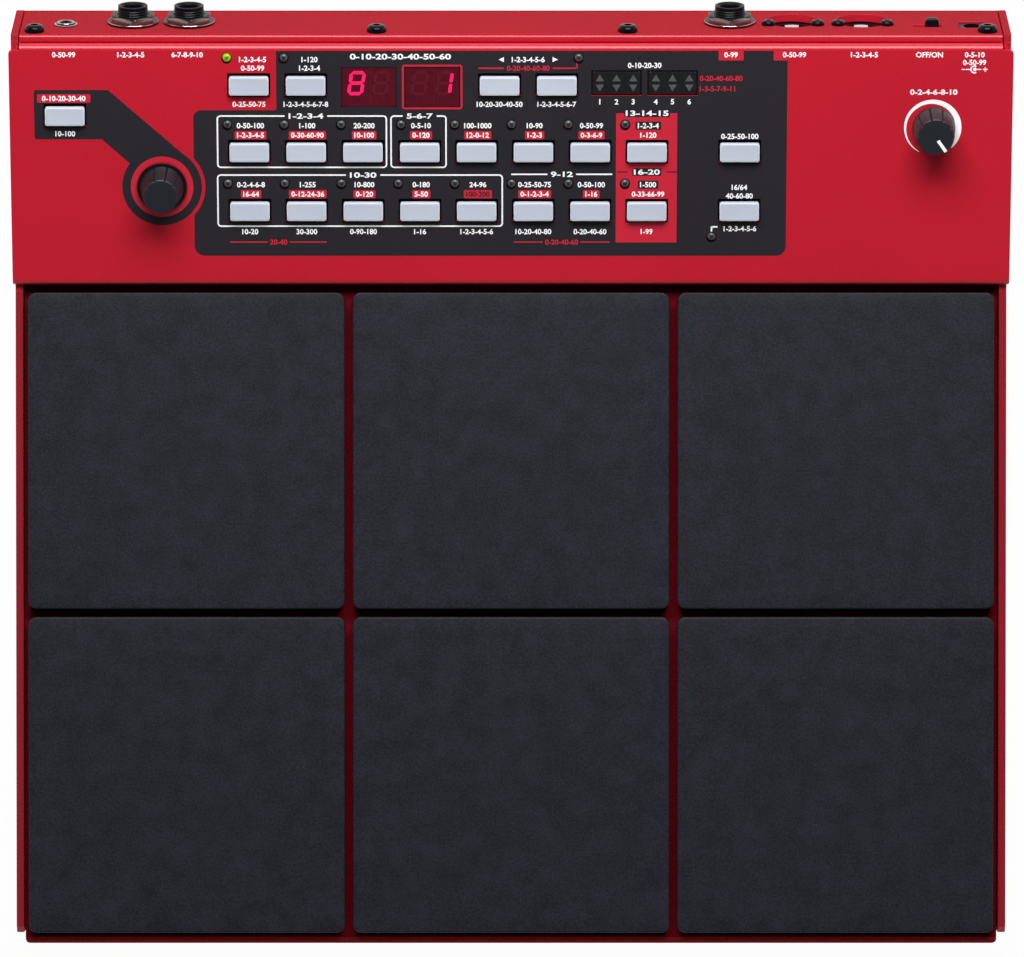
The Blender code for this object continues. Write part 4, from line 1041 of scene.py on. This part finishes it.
# %% The red ring, the red block and the red tabs
printed["red"] = combine(disc(RING_INNER, *film(0)), disc(RED_RING_INNER))
block_low = Vector((last - 10.1 * MM, lower - 11.0 * MM))
block_high = Vector((last + 9.8 * MM, centre_row + 12.8 * MM))
in_block = bmesh.new()
for node in ("reverb_color_button", "delay_rate_button"):
    near = [tip for tip in tips if (tip.xy - button_centres[node].xy).length < 13 * MM]
    add_mesh(in_block, cutter([node], near))
add_mesh(printed["red"], combine(plate(rectangle(block_low, block_high), *film(1)), in_block))
TAB = 3.2 * MM
add_field((67.4 * MM, field_high - TAB), (75.5 * MM, field_high), corner=0.3 * MM)
add_field((field_right - 4.6 * MM, field_high - TAB), (field_right, field_high), corner=0.2 * MM)


# %% White frames round the groups of buttons
def add_frame(low, high, opening, corner=1.3 * MM, ink="white", width=LINE):
    """A thin frame with rounded corners whose upper side is open for a title."""
    mesh = bmesh.new()
    rings = []
    for inset in (0, width):
        outline = rectangle(
            (low[0] + inset, low[1] + inset), (high[0] - inset, high[1] - inset), corner - inset,
        )
        verts = [mesh.verts.new((point[0], point[1], INK)) for point in outline]
        rings += [mesh.edges.new(pair) for pair in zip(verts, verts[1:] + verts[:1])]
    bmesh.ops.bridge_loops(mesh, edges=rings)
    for x in opening:
        whole = mesh.verts[:] + mesh.edges[:] + mesh.faces[:]
        bmesh.ops.bisect_plane(mesh, geom=whole, plane_co=(x, 0, 0), plane_no=(1, 0, 0))
    between = [
        face for face in mesh.faces
        if opening and opening[0] < face.calc_center_median().x < opening[1]
        and face.calc_center_median().y > (low[1] + high[1]) / 2
    ]
    bmesh.ops.delete(mesh, geom=between, context="FACES")
    thicken(mesh, mesh.faces[:], INK)
    add_mesh(printed[ink], mesh)


FRAME_BELOW = 5.7 * MM
FRAME_ABOVE = 12.1 * MM
TITLE_WIDE = 1.65
TITLE_GAP = 1.3 * MM
for from_name, to_name, y, title, left, right in (
    ("noise_resonance", "noise_decay", centre_row, "1-2-3-4", 10.6, 7.9),
    ("click_level", "click_level", centre_row, "5-6-7", 9.6, 8.8),
    ("tone_spectra", "tone_pitch", lower, "10-30", 10.7, 8.6),
):
    low = column(from_name) - left * MM, y - FRAME_BELOW
    high = column(to_name) + right * MM, y + FRAME_ABOVE
    centre = (column(from_name) + column(to_name)) / 2
    gap = add_text(title, centre, high[1] - LINE / 2, wide=TITLE_WIDE) / 2 + TITLE_GAP
    add_frame(low, high, (centre - gap, centre + gap))

y = lower + FRAME_ABOVE
centre = (column("noise_level") + column("channel_level")) / 2
gap = add_text("9-12", centre, y, wide=TITLE_WIDE) / 2 + TITLE_GAP
for side in (-1, 1):
    add_line((centre + side * gap, y), (centre + side * 16.2 * MM, y), layer=1)

# %% Labels of the two rows of parameter buttons
FIRST_LABEL, SECOND_LABEL = 8.6 * MM, 5.4 * MM  # above the middle of the button
UNDER_LABEL = 7.3 * MM
labels = {  # the white line, the boxed line and the line under the button
    "noise_resonance": ("0-50-100", "1-2-3-4-5", ""),
    "noise_frequency": ("1-100", "0-30-60-90", ""),
    "noise_decay": ("20-200", "10-100", ""),
    "click_level": ("0-5-10", "0-120", ""),
    "equaliser": ("100-1000", "12-0-12", ""),
    "distortion": ("10-90", "1-2-3", ""),
    "reverb_amount": ("0-50-99", "0-3-6-9", ""),
    "reverb_color": ("1-2-3-4", "1-120", ""),
    "tone_spectra": ("0-2-4-6-8", "16-64", "10-20"),
    "tone_frequency": ("1-255", "0-12-24-36", "30-300"),
    "tone_decay": ("10-800", "0-120", "0-90-180"),
    "tone_bend": ("0-180", "5-50", "1-16"),
    "tone_pitch": ("24-96", "100-200", "1-2-3-4-5-6"),
    "noise_level": ("0-25-50-75", "0-1-2-3-4", "10-20-40-80"),
    "channel_level": ("0-50-100", "1-16", "0-20-40-60"),
    "delay_rate": ("1-500", "0-33-66-99", "1-99"),
}
for name, (white, boxed, under) in labels.items():
    x, y = column(name) + 0.4 * MM, row(name)
    if name in ("reverb_color", "delay_rate"):
        add_boxed(white, x, y + FIRST_LABEL, "black", 2, 3)
        add_text(boxed, x, y + SECOND_LABEL, layer=3)
    else:
        add_text(white, x, y + FIRST_LABEL)
        add_boxed(boxed, x, y + SECOND_LABEL, text_ink="black" if name == "tone_pitch" else "white")
    if under:
        add_text(under, column(name), y - UNDER_LABEL, layer=3)

# %% Titles of the red block on black tabs
BLOCK_LINE = lower + 12.9 * MM
for y, title in ((block_high.y, "13-14-15"), (BLOCK_LINE, "16-20")):
    width = add_text(title, last, y, layer=3, wide=TITLE_WIDE)
    half = Vector((width / 2 + 0.5 * MM, 1.3 * MM))
    add_field((last - half.x, y - half.y), (last + half.x, y + half.y), "black", 2, 0.6 * MM)
for side in (-1, 1):
    add_line((last + side * 6.5 * MM, BLOCK_LINE), (last + side * 9.6 * MM, BLOCK_LINE), "black", 2, THIN)

# %% Labels of the upper row
LINE_ONE, LINE_TWO = field_high - 2.9 * MM, field_high - 5.8 * MM
for name, words, second in (("kit", "1-2-3-4-5", "0-50-99"), ("drum", "1-120", "1-2-3-4")):
    add_text(words, column(name) + 1.3 * MM, LINE_ONE)
    add_text(second, column(name) + 1.3 * MM, LINE_TWO)
for name, words in (
    ("kit", "0-25-50-75"), ("drum", "1-2-3-4-5-6-7-8"), ("channel_previous", "10-20-30-40-50"),
    ("channel_next", "1-2-3-4-5-6-7"),
):
    add_text(words, column(name), upper - 6.6 * MM)
low, high = windows["display_filter", "right"]
centre = (windows["display_filter", "left"][0].x + high.x) / 2
add_text("0-10-20-30-40-50-60", centre, field_high - 1.9 * MM, height=2.0 * MM, wide=1.5)
margin = Vector((0.75, 0.5)) * MM
add_frame(low - margin, high + margin, (), 0.95 * MM, "red", 0.65 * MM)
centre = (column("channel_previous") + column("channel_next")) / 2
add_text("1-2-3-4-5-6", centre, LINE_ONE)
for side in (-1, 1):  # an arrowhead on either side
    tip = centre + side * 9.6 * MM
    back = tip - side * 1.7 * MM
    corners = (tip, LINE_ONE), (back, LINE_ONE + 0.85 * MM), (back, LINE_ONE - 0.85 * MM)
    plate(corners, *film(2), printed["white"])
gap = add_text("0-20-40-60-80", centre, LINE_TWO, "red") / 2 + 1.2 * MM
elbow = centre + 15.8 * MM
for start, end in (
    ((centre - 15.9 * MM, LINE_TWO), (centre - gap, LINE_TWO)),
    ((centre + gap, LINE_TWO), (elbow, LINE_TWO)), ((elbow, LINE_TWO), (elbow, LINE_TWO + 1.9 * MM)),
):
    add_line(start, end, "red", 1)

# %% Labels round the smoked windows
low, high = windows["channel_lens", "left"][0], windows["channel_lens", "right"][1]
for number, x in enumerate(channel_places, 1):
    add_text(str(number), x, low.y - 2.3 * MM)
add_text("0-10-20-30", (low.x + high.x) / 2, high.y + 2.0 * MM)
add_text("0-20-40-60-80", high.x + 0.9 * MM, high.y - 2.35 * MM, "red", start=True)
add_text("1-3-5-7-9-11", high.x + 0.9 * MM, high.y - 5.85 * MM, "red", start=True)

# %% Labels of the buttons on the right, of the left button and of the level knob
tap = column("tap")
add_text("0-25-50-100", column("shift"), centre_row + 5.0 * MM)
add_text("16/64", tap, lower + 7.7 * MM)
add_text("40-60-80", tap, lower + 4.8 * MM)
add_text("1-2-3-4-5-6", tap + 0.3 * MM, lower - 6.3 * MM)
x, elbow = tap - 9.0 * MM, lower - 5.7 * MM
add_line((x, elbow - 1.3 * MM), (x, elbow))
add_line((x, elbow), (x + 1.7 * MM, elbow))
add_field((panic.x - 9.0 * MM, panic.y + 4.1 * MM), (panic.x + 8.4 * MM, panic.y + 7.0 * MM), corner=LINE)
add_text("0-10-20-30-40", panic.x - 0.3 * MM, panic.y + 5.55 * MM)
add_text("10-100", panic.x, panic.y - 6.3 * MM)
master = (PANEL.inverted() @ at_master.translation).xy
add_text("0-2-4-6-8-10", master.x - 0.2 * MM, master.y + 11.9 * MM, wide=1.25)

# %% Red lines below the lower row
y = lower - 10.85 * MM
for from_name, to_name, words in (
    ("tone_spectra", "tone_frequency", "20-40"), ("noise_level", "channel_level", "0-20-40-60"),
):
    left, right = column(from_name) - 6.3 * MM, column(to_name) + 6.3 * MM
    centre = (left + right) / 2
    gap = add_text(words, centre, y, "red") / 2 + 1.0 * MM
    add_line((left, y), (centre - gap, y), "red", 1, THIN)
    add_line((centre + gap, y), (right, y), "red", 1, THIN)

# %% Labels along the rear edge
SOCKET_LINE = field_high - 1.3 * MM
for node, words in (
    ("phones_jack", "0-50-99"), ("jack_1", "1-2-3-4-5"), ("jack_2", "6-7-8-9-10"), ("jack_3", "0-99"),
    ("data_socket_1", "0-50-99"), ("data_socket_2", "1-2-3-4-5"), ("power_switch", "OFF/ON"),
):
    add_text(words, middle(node).x, SOCKET_LINE, layer=3)
inlet_x = middle("dc_inlet").x
add_text("0-5-10", inlet_x, SOCKET_LINE)
add_text("0-50-99", inlet_x, SOCKET_LINE - 2.6 * MM)

# %% The polarity sign of the power inlet: plus inside, minus outside
SIGN_LINE = 0.35 * MM
y = SOCKET_LINE - 4.9 * MM
outer, inner = (arc((inlet_x, y), radius, 60, 240, 20) for radius in (1.35 * MM, 0.95 * MM))
plate(outer + inner[::-1], *film(0), printed["white"])
plate(circle((inlet_x + 0.1 * MM, y), 0.6 * MM, 20), *film(0), printed["white"])
for start, end in ((-4.0, -3.2), (-2.6, -1.5), (0.6, 2.0), (2.9, 4.1)):
    add_line((inlet_x + start * MM, y), (inlet_x + end * MM, y), layer=0, width=SIGN_LINE)
x = inlet_x + 3.5 * MM
add_line((x, y - 0.6 * MM), (x, y + 0.6 * MM), layer=1, width=SIGN_LINE)

# %% The white crescent round the level knob, which grows clockwise
CRESCENT = 9.35 * MM
STEPS = 60
centre = master - Vector((0.35 * MM, 0))
outer = arc(centre, CRESCENT, -118, -290, STEPS)
inner = []
for step, (x, y) in enumerate(outer):
    wide = (0.22 + 2.25 * step / STEPS) * min(1, (STEPS + 1 - step) / 9) * MM
    share = 1 - wide / CRESCENT
    inner.append((centre.x + (x - centre.x) * share, centre.y + (y - centre.y) * share))
plate(outer + inner[::-1], *film(0), printed["white"])

# %% The three inks become three pieces
for ink, look in (("black", black_ink), ("white", white_ink), ("red", red_ink)):
    print(ink, "print:", len(printed[ink].faces), "faces")
    make_piece(f"{ink}_print", printed[ink], look, place=PANEL)

# %% [markdown]
# ## The sockets on the rear panel
# Each large jack has a threaded black nose with a hexagon nut and a washer on it. The
# thread is a stack of small ridges, turned in one go. The nut is a hexagon whose corners
# are cut by a cone, as on a turned nut. Its sides are bright, and the faces of nut and
# washer take a darker nickel, a painted reflection of dark surroundings.
# Black button-head screws hold the panel.

# %% Threaded noses
NOSE = 4.95 * MM
NOSE_FOOT = 0.4 * MM
THREAD_PITCH = 0.75 * MM
THREAD_DEPTH = 0.25 * MM
BORE = 4.5 * MM
jack_places = {}
for number in (1, 2, 3):
    centre = middle(f"jack_nut_{number}", REAR)
    jack_places[number] = REAR @ Matrix.Translation((centre.x, centre.y, 0))
for number, place in jack_places.items():
    end = extents(f"jack_{number}", REAR)[1].z + 0.03 * MM
    z = NOSE_FOOT
    section = [(BORE, z), (NOSE - THREAD_DEPTH, z)]
    while z + THREAD_PITCH < end - 0.4 * MM:
        section += [(NOSE, z + THREAD_PITCH / 2), (NOSE - THREAD_DEPTH, z + THREAD_PITCH)]
        z += THREAD_PITCH
    section += [
        (NOSE - 0.1 * MM, end - 0.35 * MM), (NOSE - 0.45 * MM, end), (4.25 * MM, end),
        (4.12 * MM, end - 0.1 * MM), (4.12 * MM, end - 0.3 * MM), (BORE, end - 0.5 * MM), (BORE, NOSE_FOOT),
    ]
    make_piece(
        f"jack_thread_{number}", lathed(section), socket_plastic, place=place, sharp=25,
    )

# %% Hexagon nuts with washers
NUT_FLATS = 13.8 * MM
NUT_CORNER = NUT_FLATS / math.sqrt(3)
CONE = NUT_CORNER + 0.2 * MM
WASHER_EDGE = 0.3 * MM
WASHER_THICK = 0.8 * MM
for number, place in jack_places.items():
    low, high = extents(f"jack_nut_{number}", REAR)
    washer = (high.x - low.x) / 2
    foot, top = low.z + WASHER_THICK, high.z
    cone = lathed([
        (0, foot - MM), (CONE, foot - MM), (CONE, top - 0.75 * MM),
        (NUT_FLATS / 2 - 0.2 * MM, top), (0, top),
    ], steps=64)
    nut = combine(rod((0, 0), foot - 0.4 * MM, top, NUT_CORNER, steps=6), cone, "INTERSECT")
    edges = [edge for edge in nut.edges if edge.calc_face_angle(0) > math.radians(25)]
    rounded(nut, edges, 0.1 * MM, 2)
    section = [(0, low.z), (washer - 1.2 * MM, low.z), (washer, low.z + 0.3 * MM)]
    section += [(washer - WASHER_EDGE * (1 - side), foot - WASHER_EDGE * (1 - up)) for side, up in quarter(4)]
    nut = combine(nut, lathed(section + [(0, foot)], steps=64), "UNION")
    nut = combine(nut, rod((0, 0), low.z - MM, top + MM, 5.1 * MM, steps=48))
    nut.normal_update()
    # Faces turned outwards take the darkened nickel: a painted reflection.
    for face in nut.faces:
        face.material_index = int(face.normal.z > 0.6)
    make_piece(
        f"jack_nut_{number}_turned", nut, nickel, place=place,
        replaced=[f"jack_nut_{number}"], others=[nickel_darkened_face],
    )
print("nuts across flats", NUT_FLATS / MM, "mm")

# %% The small headphone jack: a chromed ferrule
low, high = extents("phones_jack", REAR)
rim = high.z + 0.25 * MM
section = [(r * MM, z * MM) for r, z in (
    (1.75, 0.1), (3.6, 0.1), (3.75, 0.2), (3.75, 0.35), (3.55, 0.5), (3.0, 0.55),
)] + [(r * MM, rim - z * MM) for r, z in (
    (2.95, 0.25), (2.85, 0.08), (2.65, 0), (2.35, 0), (1.9, 0.4), (1.75, 0.75),
)] + [(1.75 * MM, 0.1 * MM)]
at_phones = REAR @ Matrix.Translation((middle("phones_jack", REAR).x, high.y - 4.5 * MM, 0))
make_piece("phones_ferrule", lathed(section), chrome, place=at_phones)

# %% The power inlet: a black front with a bore fills its hole in the sheet
low, high = extents("dc_inlet", REAR)
centre = Vector(((low.x + high.x) / 2, high.y - 4.1 * MM))
half = Vector((4.3 * MM, 3.8 * MM))
front = plate(rectangle(centre - half, centre + half, 0.4 * MM), high.z - 0.2 * MM, -0.5 * MM)
front = combine(front, rod(centre, high.z - MM, MM, 2.9 * MM))
make_piece("dc_inlet_front", front, socket_plastic, place=REAR)

# %% Round data sockets: a shell with a bright key and an insert with five holes
SHELL = 6.55 * MM
SHELL_FOOT = -7.9 * MM
CONTACTS = 4.1 * MM
socket_screws = []
for number in (1, 2):
    low, high = extents(f"data_socket_{number}", REAR)
    x, y = (low.x + high.x) / 2, high.y - (high.x - low.x) / 2
    socket_screws += [(x - 8.0 * MM, y + 5.6 * MM), (x + 8.0 * MM, y + 5.6 * MM)]
    at_socket = REAR @ Matrix.Translation((x, y, high.z))
    shell = lathed([
        (SHELL, SHELL_FOOT), (SHELL, -0.1 * MM), (SHELL - 0.1 * MM, 0), (SHELL - 0.4 * MM, 0),
        (SHELL - 0.5 * MM, -0.1 * MM), (SHELL - 0.5 * MM, SHELL_FOOT), (SHELL, SHELL_FOOT),
    ])
    make_piece(f"data_shell_{number}", shell, black_oxide, place=at_socket)
    key = block((-2.5 * MM, -6.1 * MM, -5.5 * MM), (2.5 * MM, -5.6 * MM, -0.15 * MM))
    make_piece(f"data_key_{number}", key, bright_tin, place=at_socket)
    contacts = bmesh.new()
    for spot in arc((0, 0), CONTACTS, 0, 180, 4):
        rod(spot, -6 * MM, 0, 0.8 * MM, steps=16, mesh=contacts)
    insert = combine(rod((0, 0), -7.95 * MM, -1.6 * MM, SHELL - 0.8 * MM), contacts)
    make_piece(f"data_insert_{number}", insert, socket_plastic, place=at_socket)


# %% Button-head screws with a hexagon socket
def put_screws(name, places, radius, height, place, look=black_oxide):
    """A group of equal screw heads at (x, y) places: a short wall, a dome and a socket each."""
    wall, crown = 0.3 * height, 0.55 * radius
    dome = [(crown + (radius - crown) * side, wall + (height - wall) * up) for side, up in quarter(6)]
    section = [(0, 0), (0.93 * radius, 0), (radius, 0.07 * radius), *dome, (0, height)]
    group = bmesh.new()
    for x, y in places:
        head = combine(lathed(section), rod((0, 0), 0.4 * height, 2 * height, 0.42 * radius, steps=6))
        bmesh.ops.translate(head, verts=head.verts, vec=(x, y, 0))
        add_mesh(group, head)
    make_piece(name, group, look, place=place, sharp=30)


SCREW_DROP = -4.6 * MM
edge = extents("rear_panel", REAR)[1].x - 4.7 * MM
places = [(x, SCREW_DROP) for x in (edge, 43.7 * MM, -38.0 * MM, -edge)]
put_screws("rear_panel_screws", places, 3.15 * MM, 2.35 * MM, REAR)
put_screws("data_socket_screws", socket_screws, 2.2 * MM, 1.6 * MM, REAR)

# %% The power switch's lever, with a rounded end
LEVER_SHIFT = 0.35 * MM
LEVER_END = 1.3 * MM
low, high = extents("power_lever", REAR)
centre, half = (low + high) / 2 + Vector((LEVER_SHIFT, 0, 0)), (high - low) / 2
levels = [(1, 1, low.z)]
for side, up in quarter(5):
    taken = LEVER_END * (1 - side)
    levels.append((1 - taken / half.x, 1 - 0.35 * taken / half.y, high.z - LEVER_END + LEVER_END * up))
lever = tower(rectangle(-half.xy, half.xy, 0.4 * MM), levels, centre)
make_piece(
    "power_lever_tip", lever, socket_plastic, "power_lever", REAR, ["power_lever"],
)

# %% [markdown]
# ## Feet and the underside
# Four rubber feet are screwed to the base. Each is turned with a rounded tread and a
# deep hole for its screw. Small button-head screws hold the tray to the base.

# %% Feet with recessed screws
FOOT_FLOOR = 2.6 * MM  # the height of the hole's floor
feet = [node for node in frame["nodes"] if node.startswith("foot_")]
for node in feet:
    low, high = extents(node)
    radius = (high.x - low.x) / 2
    at_foot = Matrix.Translation(((low.x + high.x) / 2, (low.y + high.y) / 2, 0))
    tread = lathed([
        (0, high.z), (radius, high.z), (radius, 1.1 * MM), (radius - 0.3 * MM, 0.4 * MM),
        (radius - 1.0 * MM, 0), (3.2 * MM, 0), (2.9 * MM, 0.3 * MM), (2.9 * MM, FOOT_FLOOR), (0, FOOT_FLOOR),
    ])
    make_piece(f"{node}_tread", tread, foot_rubber, place=at_foot, replaced=[node])
print(len(feet), "feet")


# %% Screws under the base and in the feet
def facing_down(height):
    """A frame whose z points down, at that height."""
    return Matrix.Translation((0, 0, height)) @ Matrix.Rotation(math.pi, 4, "X")


places = [(x * 70 * MM, y * MM) for x in (-2, 0, 2) for y in (-90, 20, 135)]
put_screws("base_screws", places, 2.6 * MM, 1.5 * MM, facing_down(extents("chassis")[0].z))
places = [(p.x, -p.y) for p in map(middle, feet)]
put_screws("foot_screws", places, 2.4 * MM, 1.4 * MM, facing_down(FOOT_FLOOR), steel)

# %% [markdown]
# ## Pieces kept from the model
# The boards, shafts, socket bodies and sensor discs already have their true shape. They
# keep it, and only get the material that the real ones are made of.

# %% Materials for the kept pieces
kept = {
    board_green: ("control_board", "jack_board"),
    brass: ("sensor_sheet",),
    steel: ("encoder_shaft", "master_level_shaft"),
    nickel: ("encoder_body", "master_level_body"),
    socket_plastic: (
        "jack_1", "jack_2", "jack_3", "phones_jack", "data_socket_1", "data_socket_2",
        "dc_inlet", "power_switch",
    ),
}
for look, nodes in kept.items():
    for node in nodes:
        data = frame["nodes"][node].data
        data.materials.clear()
        data.materials.append(look)
print(sum(len(nodes) for nodes in kept.values()), "pieces keep the model's shape")
